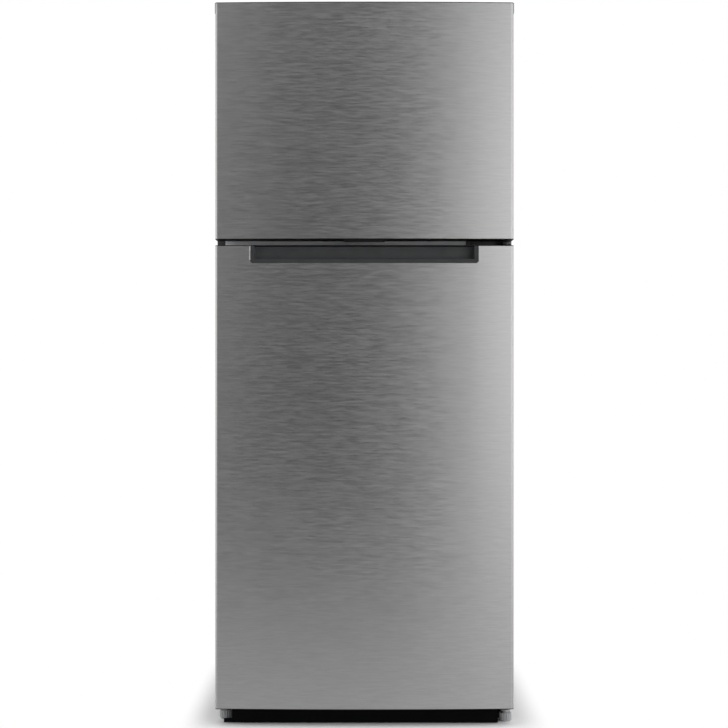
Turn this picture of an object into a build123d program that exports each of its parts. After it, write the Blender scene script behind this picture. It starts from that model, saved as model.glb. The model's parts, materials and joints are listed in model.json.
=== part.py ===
from build123d import *
from collections import namedtuple
from math import cos, pi, sin
import os

# A free-standing refrigerator with a freezer on top. Millimetres, +Z up, the doors face -Y.
# The origin lies on the floor, in the middle of the width and of the whole depth.

# Cabinet
WIDTH = 700.0
CABINET_TOP = 1693.0
CABINET_BASE = 36.0
CABINET_DEPTH = 625.0
SHEET = 1.0
FRONT_FLANGE = 34.0
WRAPPER_CORNER = 3.0
FRIDGE_WALL = 48.0
FREEZER_WALL = 58.0
CEILING_WALL = 62.0
FLOOR_WALL = 52.0
FRIDGE_BACK_WALL = 60.0
FREEZER_BACK_WALL = 72.0
LINER = 2.5
LINER_RADIUS = 14.0
LEDGE_REACH = 10.0
LEDGE_HEIGHT = 7.0
RAIL_RETURN = 16.0
MULLION_HALF = 40.0
MULLION_WALL = 46.0
MULLION_END = 19.0
BOTTOM_RAIL = 44.0
BACK_RIB = 1.6
BACK_RIBS = 6
BACK_RIB_WIDTH = 14.0
BACK_RIB_SHARE = 0.72
REAR_SPACER = 12.0
SPACER_WIDTH = 50.0
SPACER_HEIGHT = 30.0
SPACER_DROP = 90.0
SPACER_SHARE = 0.6

# Doors
FRIDGE_DOOR_BOTTOM = 39.5
FRIDGE_DOOR_TOP = 1123.5
DOOR_GAP = 13.9
TOP_CLEARANCE = 2.0
DOOR_INSET = 1.0
DOOR_EDGE_DEPTH = 62.0
DOOR_BOW = 9.0
DOOR_CORNER = 6.0
CAP_LIP = 1.6
CAP_DEPTH = 22.0
CHEEK_HEIGHT = 24.0
GASKET_DEPTH = 12.0
GASKET_INSET = 16.0
GASKET_WIDTH = 14.0
GASKET_BASE = 4.0
GASKET_FOOT_INSET = 3.0
GASKET_CORNER = 6.0
PAN_GAP = 14.0
PAN_DEPTH = 28.0
DYKE_DEPTH = 45.0
DYKE_WIDTH = 36.0
DYKE_DRAFT = 4.0
DYKE_ROUND = 8.0
BIN_DEPTH = 88.0
BIN_WALL = 2.4
BIN_SLOPE = 8.0
BIN_CORNER = 16.0
LUG = 8.0
LUG_LENGTH = 30.0
BIN_FRONT_SHARE = 0.72
BIN_SIDE_SHARE = 0.55

# Pocket handle in the fridge door and finger grip under the freezer door
POCKET_WIDTH = 534.0
POCKET_HEIGHT = 41.9
POCKET_DEPTH = 40.0
POCKET_WALL = 3.0
POCKET_SIDE_RIM = 10.0
POCKET_LOW_RIM = 10.0
POCKET_LIP = 9.0
POCKET_CORNER = 7.0
POCKET_ROUND = 3.0
POCKET_BEVEL = 2.0
TROUGH_SLOPE = 6.0
TROUGH_RISE = 8.0
GRIP_WIDTH = 300.0
GRIP_DEPTH = 30.0
GRIP_HEIGHT = 15.0
GRIP_WALL = 14.0
GRIP_LIP_WIDTH = 95.0
GRIP_LIP_DROP = 2.4
GRIP_LIP_SLOPE = 4.0
GRIP_LIP_SETBACK = 4.0
GRIP_LIP_DEPTH = 8.0
GRIP_CORNER = 10.0

# Hinges
HINGE_INSET = 16.0
HINGE_SETBACK = 31.0
PIN_RADIUS = 5.0
PIN_LENGTH = 14.0
PIN_CLEARANCE = 0.1
PIN_CHAMFER = 1.0
BUSH_WALL = 3.0
BUSH_LENGTH = 16.0
BUSH_COLLAR = 3.0
HINGE_ARM = 4.0
HINGE_PLATE = 2.5
HINGE_ARM_HALF = 11.5
MID_PLATE_CORNER = 6.0
MID_PLATE_HEIGHT = 40.0
MID_PLATE_WIDTH = 104.0
BOTTOM_PLATE_TOP = 52.0
BOTTOM_PLATE_WIDTH = 85.0
BOTTOM_ARM_Z = 34.0
TOP_PLATE_LENGTH = 150.0
TOP_PLATE_WIDTH = 62.0
TOP_PLATE_CORNER = 8.0
TOP_PLATE_SETBACK = 20.0
TOP_ARM_OVERLAP = 20.0
COVER_HEIGHT = 17.0
COVER_WALL = 2.0
COVER_MARGIN = 8.0
COVER_NOSE = 7.0
COVER_SLOPE = 24.0
COVER_MOUTH = 22.0
COVER_MOUTH_HEIGHT = 5.0
COVER_ROUND = 2.5
SCREW_RADIUS = 2.6
SCREW_HEAD = 5.0
SCREW_HEAD_HEIGHT = 3.0
SCREW_CROSS = 5.0
SCREW_CROSS_WIDTH = 1.2
PLUG_HEIGHT = 2.0
PLUG_CHAMFER = 1.2

# Standing
FOOT_RADIUS = 15.4
FOOT_GROOVE = 2.0
FOOT_RIBS = 16
FOOT_HEIGHT = 28.5
FOOT_KNOB = 20.0
FOOT_TAPER = 1.0
FOOT_ROUND = 3.0
FOOT_NECK = 8.0
FOOT_COLLAR = 13.0
FOOT_COLLAR_HEIGHT = 3.5
FOOT_SETBACK = 30.0
STUD_RADIUS = 4.0
STUD_TIP = 8.0
LEFT_FOOT_INSET = 19.0
BRACKET_SHEET = 3.0
ROLLER_RADIUS = 15.0
ROLLER_WIDTH = 18.0
ROLLER_INSET = 60.0
ROLLER_SETBACK = 70.0
AXLE_RADIUS = 3.0
EAR_SHEET = 2.0
EAR_REACH = 14.0
EAR_ROUND = 8.0
ROLLER_PLAY = 1.0
ROLLER_CHAMFER = 1.5
AXLE_HEAD = 2.0
KICK_BOTTOM = 2.0
KICK_SHEET = 3.0
KICK_FORWARD = 44.0
KICK_RETURN = 26.0
KICK_FOLD = 7.0
KICK_GAP = 4.0
KICK_LIP = 10.0

# Machine compartment
MACHINE_DEPTH = 205.0
MACHINE_HEIGHT = 205.0
MACHINE_SLOPE = 30.0
HUMP_WALL = 45.0
BASE_SHEET = 2.0
GROMMET_HEIGHT = 16.0
GROMMET_RADIUS = 11.0
GROMMET_INSET = 12.0
COMPRESSOR_X = 70.0
COMPRESSOR_RADIUS = 74.0
COMPRESSOR_HEIGHT = 144.0
COMPRESSOR_PLATE_WIDTH = 180.0
COMPRESSOR_PLATE_DEPTH = 120.0
COMPRESSOR_PLATE = 3.0
TRAY_WIDTH = 300.0
TRAY_DEPTH = 130.0
TRAY_SHIFT = 60.0
TRAY_HEIGHT = 28.0
TRAY_WALL = 2.0
TRAY_CORNER = 16.0
PIPE_RADIUS = 3.2
PIPE_BEND = 14.0
PIPE_INSET = 40.0
PIPE_LOOP = 70.0
PIPE_SPACING = 60.0
DRIER_LENGTH = 100.0
DRIER_RADIUS = 10.0
LOUVRE = 5.0
LOUVRE_PITCH = 15.0
LOUVRES = 9
CORD_BUSH = 8.0
CORD_BUSH_INSET = 40.0
CORD_PRESS = 0.05
MACHINE_COVER_GAP = 1.0

# Shelves, drawers and fittings inside
GLASS = 4.0
SHELF_GAP = 3.0
SHELF_BACK_GAP = 8.0
SHELF_FRONT_SETBACK = 117.0
TRIM_HEIGHT = 16.0
TRIM_DEPTH = 14.0
TRIM_LIP = 2.0
TRIM_ROUND = 3.0
DRAWER_FRONT_SETBACK = 140.0
DRAWER_GAP = 8.0
DRAWER_TAPER = 7.0
DRAWER_WALL = 2.5
DRAWER_TOP_GAP = 14.0
DRAWER_GRIP = 16.0
DRAWER_HUMP_GAP = 10.0
DRAWER_SIDE_GAP = 4.0
DRAWER_CORNER = 14.0
DRAWER_GRIP_WALL = 4.0
DRAWER_GRIP_DROP = 24.0
DUCT_WIDTH = 230.0
DUCT_DEPTH = 26.0
DUCT_WALL = 2.0
DUCT_SIDE = 12.0
DUCT_CHAMFER = 8.0
OUTLETS = 3
OUTLET_X = (24.0, 84.0)
OUTLET_RISE = 90.0
OUTLET_PITCH = 13.0
OUTLET = 6.0
BOX_WIDTH = 230.0
BOX_DEPTH = 150.0
BOX_HEIGHT = 44.0
BOX_SETBACK = 130.0
BOX_CORNER = 10.0
BOX_ROUND = 3.0
BOX_BORE = 12.0
DIAL_RADIUS = 19.0
DIAL_DEPTH = 14.0
DIAL_SHAFT = 3.0
DIAL_BAR = 4.0
DIAL_ROUND = 1.5
FREEZER_DIAL_SHARE = 0.62
LAMP_WIDTH = 120.0
LAMP_DEPTH = 80.0
LAMP_DROP = 16.0
LAMP_CORNER = 8.0
LAMP_ROUND = 3.0
LAMP_GROOVES = 7
LAMP_GROOVE = 4.0
LAMP_GROOVE_DEPTH = 1.5
LAMP_MARGIN = 15.0
SWITCH_X = 165.0
SWITCH_WIDTH = 26.0
SWITCH_LENGTH = 38.0
SWITCH_HEIGHT = 30.0
PLUNGER_RADIUS = 4.0
PLUNGER_REACH = 9.0
PLUNGER_ROUND = 1.5
PLUNGER_TRAVEL = 10.0
SWITCH_WALL = 4.0
SWITCH_CHAMFER = 2.0
COIL_COVER_GAP = 78.0
COIL_COVER = 2.5
COIL_COVER_SIDE = 0.5
COIL_COVER_LEG = 40.0
FAN_SLOTS = 9
FAN_SLOT_PITCH = 11.0
FAN_SLOT = 6.0
FAN_SPOKE = 4.0
AIR_SLOTS = 14
AIR_SLOT_WIDTH = 24.0
AIR_SLOT_HEIGHT = 8.0
AIR_SLOT_RISE = 16.0
AIR_SLOT_INSET = 30.0
COIL_WIDTH = 420.0
COIL_DEPTH = 52.0
COIL_FINS = 12
COIL_PLATE = 2.0
COIL_TUBES = 5
COIL_TUBE = 4.0
COIL_TUBE_INSET = 20.0
COIL_TUBE_END = 8.0
FIN = 1.2
FAN_RADIUS = 52.0
FAN_DEPTH = 20.0
FAN_BLADES = 5
FAN_HUB = 15.0
FAN_BLADE = 1.6
FAN_BLADE_WIDTH = 26.0
FAN_PITCH = 35.0
FAN_TIP_GAP = 6.0
FAN_ROOT = 3.0
FAN_GAP = 2.0
MOTOR_RADIUS = 26.0
MOTOR_LENGTH = 34.0
MOTOR_SHAFT = 3.0
MOTOR_FOOT = 4.0
MOTOR_FOOT_EDGE = 10.0

# Heights as shares of a compartment's height: shelves, then each door bin's floor and its rise
FREEZER_SHELF_SHARE = 0.484
FRIDGE_SHELF_SHARES = (0.243, 0.503, 0.756)
FREEZER_BIN_SHARES = ((0.09, 0.2), (0.53, 0.2))
FRIDGE_BIN_SHARES = ((0.042, 0.15), (0.38, 0.1), (0.67, 0.1))
COIL_SHARE = 0.416
FAN_SHARE = 0.722

# Fits
FIT = 0.3
RUNNING_GAP = 0.2

# Places along the depth
DEPTH = DOOR_BOW + DOOR_EDGE_DEPTH + GASKET_DEPTH + CABINET_DEPTH + REAR_SPACER
Y_APEX = -DEPTH / 2
Y_EDGE = Y_APEX + DOOR_BOW
Y_DOOR_BACK = Y_EDGE + DOOR_EDGE_DEPTH
Y_FRONT = Y_DOOR_BACK + GASKET_DEPTH
Y_BACK = Y_FRONT + CABINET_DEPTH
Y_PAN = Y_DOOR_BACK + PAN_DEPTH
Y_DYKE = Y_PAN + DYKE_DEPTH
Y_SHELF = Y_FRONT + SHELF_FRONT_SETBACK
Y_DRAWER = Y_FRONT + DRAWER_FRONT_SETBACK
Y_MACHINE = Y_BACK - MACHINE_DEPTH
Y_MACHINE_TOP = Y_MACHINE + MACHINE_SLOPE

# Places across the width and up the height
HALF = WIDTH / 2
DOOR_HALF = HALF - DOOR_INSET
HINGE_X = HALF - HINGE_INSET
HINGE_Y = Y_EDGE + HINGE_SETBACK
GASKET_HALF = HINGE_X - 1.0
FREEZER_DOOR_BOTTOM = FRIDGE_DOOR_TOP + DOOR_GAP
FREEZER_DOOR_TOP = CABINET_TOP - TOP_CLEARANCE
MULLION_Z = FRIDGE_DOOR_TOP + DOOR_GAP / 2
MACHINE_TOP = CABINET_BASE + MACHINE_HEIGHT
ARM_Z = MULLION_Z - HINGE_ARM / 2
BASE_TOP = CABINET_BASE + BASE_SHEET
COMPRESSOR_Y = (Y_MACHINE_TOP + Y_BACK) / 2
COMPRESSOR_Z = BASE_TOP + GROMMET_HEIGHT
FOOT_LEFT = (-HALF + LEFT_FOOT_INSET, Y_FRONT + FOOT_RADIUS)
FOOT_RIGHT = (HINGE_X, HINGE_Y + FOOT_SETBACK)
ROLLER_X = HALF - ROLLER_INSET
ROLLER_Y = Y_BACK - ROLLER_SETBACK
BUSH_RADIUS = PIN_RADIUS + PIN_CLEARANCE + BUSH_WALL

Cavity = namedtuple("Cavity", "half bottom top back")
Door = namedtuple("Door", "bottom top cavity bins")
FREEZER = Cavity(
    HALF - FREEZER_WALL, MULLION_Z + MULLION_WALL, CABINET_TOP - CEILING_WALL, Y_BACK - FREEZER_BACK_WALL
)
FRIDGE = Cavity(
    HALF - FRIDGE_WALL, CABINET_BASE + FLOOR_WALL, MULLION_Z - MULLION_WALL, Y_BACK - FRIDGE_BACK_WALL
)


def share_of(cavity, share):
    """A part of a compartment's height."""
    return share * (cavity.top - cavity.bottom)


def bin_places(cavity, shares):
    """The floor and the rise of each bin of a door."""
    return [(cavity.bottom + share_of(cavity, at), share_of(cavity, tall)) for at, tall in shares]


FREEZER_SHELF = FREEZER.bottom + share_of(FREEZER, FREEZER_SHELF_SHARE)
FRIDGE_SHELVES = [FRIDGE.bottom + share_of(FRIDGE, share) for share in FRIDGE_SHELF_SHARES]
FREEZER_BINS = bin_places(FREEZER, FREEZER_BIN_SHARES)
FRIDGE_BINS = bin_places(FRIDGE, FRIDGE_BIN_SHARES)
FREEZER_DOOR = Door(FREEZER_DOOR_BOTTOM, FREEZER_DOOR_TOP, FREEZER, FREEZER_BINS)
FRIDGE_DOOR = Door(FRIDGE_DOOR_BOTTOM, FRIDGE_DOOR_TOP, FRIDGE, FRIDGE_BINS)
Y_COIL_COVER = FREEZER.back - COIL_COVER_GAP
COIL_HEIGHT = share_of(FREEZER, COIL_SHARE)
FAN_Z = FREEZER.bottom + share_of(FREEZER, FAN_SHARE)
FREEZER_DIAL_X = (FREEZER.half - COIL_COVER_SIDE) * FREEZER_DIAL_SHARE
HUMP_Y = Y_MACHINE - HUMP_WALL
HUMP_Y_TOP = Y_MACHINE_TOP - HUMP_WALL
HUMP_TOP = MACHINE_TOP + HUMP_WALL
SWITCH_Z = FRIDGE.top - SWITCH_HEIGHT / 2
BOX_FRONT = Y_FRONT + BOX_SETBACK
DIAL_Z = FRIDGE.top - BOX_HEIGHT / 2


def block(x, y, z):
    """A box between three pairs of limits."""
    box = Box(x[1] - x[0], y[1] - y[0], z[1] - z[0], align=(Align.MIN, Align.MIN, Align.MIN))
    return Pos(x[0], y[0], z[0]) * box


def upright(x, y, z, radius):
    """A round bar standing between two heights."""
    bar = Cylinder(radius, z[1] - z[0], align=(Align.CENTER, Align.CENTER, Align.MIN))
    return Pos(x, y, z[0]) * bar


def along_y(x, y, z, radius):
    """A round bar lying along the depth."""
    bar = Cylinder(radius, y[1] - y[0], align=(Align.CENTER, Align.CENTER, Align.MIN))
    return Pos(x, y[0], z) * Rot(-90, 0, 0) * bar


def along_x(x, y, z, radius):
    """A round bar lying across the width."""
    bar = Cylinder(radius, x[1] - x[0], align=(Align.CENTER, Align.CENTER, Align.MIN))
    return Pos(x[0], y, z) * Rot(0, 90, 0) * bar


def side_profile(points, x):
    """A profile drawn from the side, as (y, z), drawn out across the width."""
    face = make_face(Polyline(*points, close=True))
    return extrude(Plane.YZ.offset(x[0]) * face, amount=x[1] - x[0])


def plan_profile(face, z):
    """A plan drawn out between two heights."""
    return extrude(Plane.XY.offset(z[0]) * face, amount=z[1] - z[0])


def group(*pieces):
    """Separate solids in one node."""
    return Compound([solid for piece in pieces for solid in piece.solids()])


def mirrored(piece):
    return mirror(piece, about=Plane.YZ)


def inner_edges(solid):
    """Every edge but those of the foremost face."""
    return solid.edges() - solid.faces().sort_by(Axis.Y)[0].edges()


# The cabinet


def freezer_space(grow):
    """The freezer's hollow, or with its liner's wall around it."""
    half = FREEZER.half + grow
    space = block((-half, half), (Y_FRONT, FREEZER.back + grow), (FREEZER.bottom - grow, FREEZER.top + grow))
    return fillet(inner_edges(space), LINER_RADIUS + grow)


def fridge_space(grow):
    """The fridge's hollow with the hump over the machine compartment."""
    points = (
        (Y_FRONT, FRIDGE.bottom - grow),
        (HUMP_Y + grow, FRIDGE.bottom - grow),
        (HUMP_Y_TOP + grow, HUMP_TOP - grow),
        (FRIDGE.back + grow, HUMP_TOP - grow),
        (FRIDGE.back + grow, FRIDGE.top + grow),
        (Y_FRONT, FRIDGE.top + grow),
    )
    half = FRIDGE.half + grow
    space = side_profile(points, (-half, half))
    corners = space.edges().filter_by(Axis.X).filter_by(lambda e: e.center().Y > Y_FRONT + 1)
    return fillet(corners, LINER_RADIUS)


def machine_space(grow):
    """The open space for the compressor, low at the back."""
    points = (
        (Y_MACHINE - grow, CABINET_BASE + grow),
        (Y_MACHINE_TOP - grow, MACHINE_TOP + grow),
        (Y_BACK, MACHINE_TOP + grow),
        (Y_BACK, CABINET_BASE - 1),
        (Y_MACHINE - grow, CABINET_BASE - 1),
    )
    return side_profile(points, (-HALF + SHEET, HALF - SHEET))


def ledges(cavity, height):
    """The pair of ribs under a shelf, part of a liner."""
    y = (Y_SHELF + TRIM_DEPTH + FIT, shelf_back(cavity))
    z = (height - LEDGE_HEIGHT, height)
    rib = block((cavity.half - LEDGE_REACH, cavity.half + LINER / 2), y, z)
    return rib + mirrored(rib)


def freezer_liner():
    lip_half = HALF - SHEET - FRONT_FLANGE
    lip_top = CABINET_TOP - SHEET - FRONT_FLANGE
    lip = block((-lip_half, lip_half), (Y_FRONT, Y_FRONT + LINER), (MULLION_Z + MULLION_HALF, lip_top))
    liner = freezer_space(LINER) + lip - freezer_space(0)
    return liner + ledges(FREEZER, FREEZER_SHELF)


def fridge_liner():
    lip_half = HALF - SHEET - FRONT_FLANGE
    lip_z = (CABINET_BASE + BOTTOM_RAIL, MULLION_Z - MULLION_HALF)
    lip = block((-lip_half, lip_half), (Y_FRONT, Y_FRONT + LINER), lip_z)
    liner = fridge_space(LINER) + lip - fridge_space(0)
    for height in FRIDGE_SHELVES:
        liner += ledges(FRIDGE, height)
    return liner


def front_rail(half, z):
    """A channel across the cabinet's front with its returns turned in."""
    face = block((-half, half), (Y_FRONT, Y_FRONT + RAIL_RETURN), z)
    hollow = block((-half, half), (Y_FRONT + SHEET, Y_FRONT + RAIL_RETURN), (z[0] + SHEET, z[1] - SHEET))
    return face - hollow


def mullion_rail():
    return front_rail(HALF - MULLION_END, (MULLION_Z - MULLION_HALF, MULLION_Z + MULLION_HALF))


def bottom_rail():
    return front_rail(HALF - SHEET - FRONT_FLANGE, (CABINET_BASE, CABINET_BASE + BOTTOM_RAIL))


def front_rails():
    """The rail between the two openings and the one below them."""
    return group(mullion_rail(), bottom_rail())


def cabinet_wrapper():
    """Sides and top folded from one sheet, with flanges turned in at the front."""
    z = (CABINET_BASE, CABINET_TOP)
    shell = block((-HALF, HALF), (Y_FRONT, Y_BACK), z)
    shell = fillet(shell.edges().filter_by(Axis.Y).group_by(Axis.Z)[-1], WRAPPER_CORNER)
    inside = block((-HALF + SHEET, HALF - SHEET), (Y_FRONT + SHEET, Y_BACK), (z[0], z[1] - SHEET))
    inside = fillet(inside.edges().filter_by(Axis.Y).group_by(Axis.Z)[-1], WRAPPER_CORNER - SHEET)
    window = HALF - SHEET - FRONT_FLANGE
    opening = block((-window, window), (Y_FRONT, Y_FRONT + SHEET), (z[0], z[1] - SHEET - FRONT_FLANGE))
    rail_half = HALF - MULLION_END
    rail_z = (MULLION_Z - MULLION_HALF, MULLION_Z + MULLION_HALF)
    rail = block((-rail_half, rail_half), (Y_FRONT, Y_FRONT + SHEET), rail_z)
    return shell - inside - opening - rail


def back_panel():
    """A flat sheet with pressed stiffening ribs."""
    half = HALF - SHEET
    z = (MACHINE_TOP, CABINET_TOP - SHEET)
    sheet = block((-half, half), (Y_BACK - SHEET, Y_BACK), z)
    sheet = fillet(sheet.edges().filter_by(Axis.Y).group_by(Axis.Z)[-1], WRAPPER_CORNER - SHEET)
    for index in range(BACK_RIBS):
        height = z[0] + (index + 1) * (z[1] - z[0]) / (BACK_RIBS + 1)
        place = Plane((0, Y_BACK, height), x_dir=(-1, 0, 0), z_dir=(0, 1, 0))
        rib = place * SlotOverall(WIDTH * BACK_RIB_SHARE, BACK_RIB_WIDTH)
        sheet += extrude(rib, amount=BACK_RIB, taper=30)
    return sheet


def bottom_panel():
    """The sheet under the foam, bent up and over the machine compartment."""
    y = (Y_FRONT + SHEET, Y_BACK - SHEET)
    points = (
        (y[0], CABINET_BASE),
        (Y_MACHINE, CABINET_BASE),
        (Y_MACHINE_TOP, MACHINE_TOP),
        (y[1], MACHINE_TOP),
        (y[1], MACHINE_TOP + SHEET),
        (Y_MACHINE_TOP - SHEET, MACHINE_TOP + SHEET),
        (Y_MACHINE - SHEET, CABINET_BASE + SHEET),
        (y[0], CABINET_BASE + SHEET),
    )
    sheet = side_profile(points, (-HALF + SHEET, HALF - SHEET))
    return sheet - bottom_rail()


def cabinet_foam():
    """The insulation between wrapper and liners."""
    inside = block(
        (-HALF + SHEET, HALF - SHEET),
        (Y_FRONT + SHEET, Y_BACK - SHEET),
        (CABINET_BASE + SHEET, CABINET_TOP - SHEET),
    )
    inside = fillet(inside.edges().filter_by(Axis.Y).group_by(Axis.Z)[-1], WRAPPER_CORNER - SHEET)
    foam = inside - machine_space(SHEET) - freezer_liner() - fridge_liner()
    return foam - freezer_space(0) - fridge_space(0) - front_rails()


def wall_spacers():
    """Pads that keep the back off the wall."""
    pads = []
    for x in (-HALF * SPACER_SHARE, HALF * SPACER_SHARE):
        z = CABINET_TOP - SPACER_DROP
        half = SPACER_WIDTH / 2
        pad = block((x - half, x + half), (Y_BACK, Y_BACK + REAR_SPACER), (z, z + SPACER_HEIGHT))
        pads.append(chamfer(pad.faces().sort_by(Axis.Y)[-1].edges(), REAR_SPACER / 4))
    return group(*pads)


# Standing and machine compartment


def foot(place):
    """A levelling foot bored for its stud: a ribbed knob, a neck and a collar."""
    corners = []
    for index in range(FOOT_RIBS * 2):
        radius = FOOT_RADIUS if index % 2 else FOOT_RADIUS - FOOT_GROOVE
        angle = pi * index / FOOT_RIBS
        corners.append((radius * cos(angle), radius * sin(angle)))
    ribbed = extrude(make_face(Polyline(*corners, close=True)), amount=FOOT_KNOB)
    on_floor = (Align.CENTER, Align.CENTER, Align.MIN)
    blank = Cone(FOOT_RADIUS - FOOT_TAPER, FOOT_RADIUS, FOOT_KNOB, align=on_floor)
    blank = chamfer(blank.edges().group_by(Axis.Z)[0], FOOT_ROUND)
    neck = upright(0, 0, (FOOT_KNOB, FOOT_HEIGHT), FOOT_NECK)
    collar = upright(0, 0, (FOOT_HEIGHT - FOOT_COLLAR_HEIGHT, FOOT_HEIGHT), FOOT_COLLAR)
    bore = upright(0, 0, (STUD_TIP - 1, FOOT_HEIGHT), STUD_RADIUS + RUNNING_GAP)
    return Pos(*place) * ((ribbed & blank) + neck + collar - bore)


def foot_bracket():
    """The angle with the left foot's stud, folded down behind the foot."""
    reach = FOOT_RADIUS + BRACKET_SHEET / 2
    x = (FOOT_LEFT[0] - reach, FOOT_LEFT[0] + reach)
    y = (Y_FRONT + SHEET, FOOT_LEFT[1] + FOOT_RADIUS + 2 * BRACKET_SHEET)
    plate = block(x, y, (CABINET_BASE - BRACKET_SHEET, CABINET_BASE))
    plate += block(x, (y[1] - BRACKET_SHEET, y[1]), (FOOT_HEIGHT / 2, CABINET_BASE))
    plate = fillet(plate.edges().filter_by(Axis.Y).group_by(Axis.Z)[0], BRACKET_SHEET)
    return plate + upright(*FOOT_LEFT, (STUD_TIP, CABINET_BASE), STUD_RADIUS)


def kick_plate():
    """The plinth plate under the doors, cut away at the left foot and led round behind the right one."""
    x = (FOOT_LEFT[0] + FOOT_RADIUS + KICK_GAP, HINGE_X - FOOT_RADIUS - KICK_GAP)
    y = (Y_FRONT - KICK_FORWARD, Y_FRONT + KICK_RETURN)
    z = (KICK_BOTTOM, CABINET_BASE - KICK_GAP)
    fold = BOTTOM_ARM_Z - KICK_FOLD
    plate = block(x, (y[0], y[0] + KICK_SHEET), z)
    plate += block((FOOT_LEFT[0], x[0]), (y[0], y[0] + KICK_SHEET), (KICK_BOTTOM, KICK_BOTTOM + KICK_LIP))
    plate = fillet(plate.edges().filter_by(Axis.X).group_by(Axis.Y)[0], KICK_SHEET / 3)
    plate += block(x, y, (fold - KICK_SHEET, fold))
    plate += block(x, (y[1] - KICK_SHEET, y[1]), (fold - KICK_SHEET, CABINET_BASE))
    wing = FOOT_RIGHT[1] + FOOT_RADIUS + KICK_GAP
    plate += block((x[1] - KICK_SHEET, x[1]), (y[0] + KICK_SHEET / 2, wing), z)
    return plate + block((x[1] - KICK_SHEET, HALF - KICK_GAP), (wing - KICK_SHEET, wing), z)


def compressor_base():
    """The floor pan of the machine compartment with the rollers' ears."""
    half = HALF - SHEET
    y = (Y_MACHINE + SHEET, Y_BACK - SHEET)
    pan = block((-half, half), y, (CABINET_BASE, BASE_TOP))
    for side in (-1, 1):
        edge = sorted((side * half, side * (half - BASE_SHEET)))
        pan += block(edge, (Y_MACHINE_TOP, y[1]), (CABINET_BASE, MACHINE_TOP))
        reach = ROLLER_WIDTH / 2 + ROLLER_PLAY
        for offset_x in (-reach - EAR_SHEET, reach):
            x = (side * ROLLER_X + offset_x, side * ROLLER_X + offset_x + EAR_SHEET)
            ear = block(x, (ROLLER_Y - EAR_REACH, ROLLER_Y + EAR_REACH), (ROLLER_RADIUS, CABINET_BASE))
            ear += along_x(x, ROLLER_Y, ROLLER_RADIUS, EAR_ROUND)
            pan += ear - along_x(x, ROLLER_Y, ROLLER_RADIUS, AXLE_RADIUS)
    return pan


def roller_axles():
    reach = ROLLER_WIDTH / 2 + ROLLER_PLAY + EAR_SHEET
    axles = []
    for x in (-ROLLER_X, ROLLER_X):
        axle = along_x((x - reach, x + reach), ROLLER_Y, ROLLER_RADIUS, AXLE_RADIUS)
        axle += along_x((x + reach, x + reach + AXLE_HEAD), ROLLER_Y, ROLLER_RADIUS, AXLE_RADIUS + AXLE_HEAD)
        axles.append(axle)
    return group(*axles)


def roller(x):
    half = ROLLER_WIDTH / 2
    wheel = along_x((x - half, x + half), ROLLER_Y, ROLLER_RADIUS, ROLLER_RADIUS)
    wheel = chamfer(wheel.edges().filter_by(GeomType.CIRCLE), ROLLER_CHAMFER)
    return wheel - along_x((x - half, x + half), ROLLER_Y, ROLLER_RADIUS, AXLE_RADIUS + RUNNING_GAP)


def grommet_places():
    dx = COMPRESSOR_PLATE_WIDTH / 2 - GROMMET_INSET
    dy = COMPRESSOR_PLATE_DEPTH / 2 - GROMMET_INSET
    return [(COMPRESSOR_X + i * dx, COMPRESSOR_Y + j * dy) for i in (-1, 1) for j in (-1, 1)]


def grommets():
    """Waisted rubber feet under the compressor."""
    pads = []
    for x, y in grommet_places():
        pad = upright(x, y, (BASE_TOP, COMPRESSOR_Z), GROMMET_RADIUS)
        z = (BASE_TOP + GROMMET_HEIGHT * 0.4, COMPRESSOR_Z - GROMMET_HEIGHT * 0.3)
        pads.append(pad - (upright(x, y, z, GROMMET_RADIUS) - upright(x, y, z, GROMMET_RADIUS * 0.7)))
    return group(*pads)


def compressor():
    """A welded shell on its mounting plate, with stub tubes and a terminal box."""
    r = COMPRESSOR_RADIUS
    h = COMPRESSOR_HEIGHT
    low = COMPRESSOR_PLATE
    lower = ((0, low), (r * 0.72, low), (r, h * 0.17))
    upper = ((r, h * 0.62), (r * 0.7, h * 0.94), (r * 0.4, h), (0, h))
    points = lower + upper
    shell = revolve(Plane.XZ * make_face(Polyline(*points, close=True)), Axis.Z)
    shell += Pos(0, 0, h * 0.52) * Cylinder(r * 1.04, h * 0.035)
    shell += Pos(0, 0, low / 2) * Box(COMPRESSOR_PLATE_WIDTH, COMPRESSOR_PLATE_DEPTH, low)
    shell += Pos(-r, 0, h * 0.5) * Box(r * 0.36, r * 0.7, h * 0.43)
    for angle in (50, 90, 130):
        stub = Pos(r, 0, h * 0.36) * Rot(0, 90, 0) * Cylinder(PIPE_RADIUS * 1.5, r * 0.27)
        shell += Rot(0, 0, angle) * stub
    return Pos(COMPRESSOR_X, COMPRESSOR_Y, COMPRESSOR_Z) * shell


def evaporation_tray():
    """The melt-water tray on top of the compressor."""
    z = COMPRESSOR_Z + COMPRESSOR_HEIGHT
    place = Pos(COMPRESSOR_X - TRAY_SHIFT, COMPRESSOR_Y, z + TRAY_HEIGHT / 2)
    tray = place * Box(TRAY_WIDTH, TRAY_DEPTH, TRAY_HEIGHT)
    tray = fillet(tray.edges().filter_by(Axis.Z), TRAY_CORNER)
    inside = Box(TRAY_WIDTH - 2 * TRAY_WALL, TRAY_DEPTH - 2 * TRAY_WALL, TRAY_HEIGHT)
    hollow = place * Pos(0, 0, TRAY_WALL) * inside
    return tray - fillet(hollow.edges().filter_by(Axis.Z), TRAY_CORNER - TRAY_WALL)


def pipe(*points):
    line = FilletPolyline(*points, radius=PIPE_BEND)
    return sweep(Plane(line @ 0, z_dir=line % 0) * Circle(PIPE_RADIUS), path=line)


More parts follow.
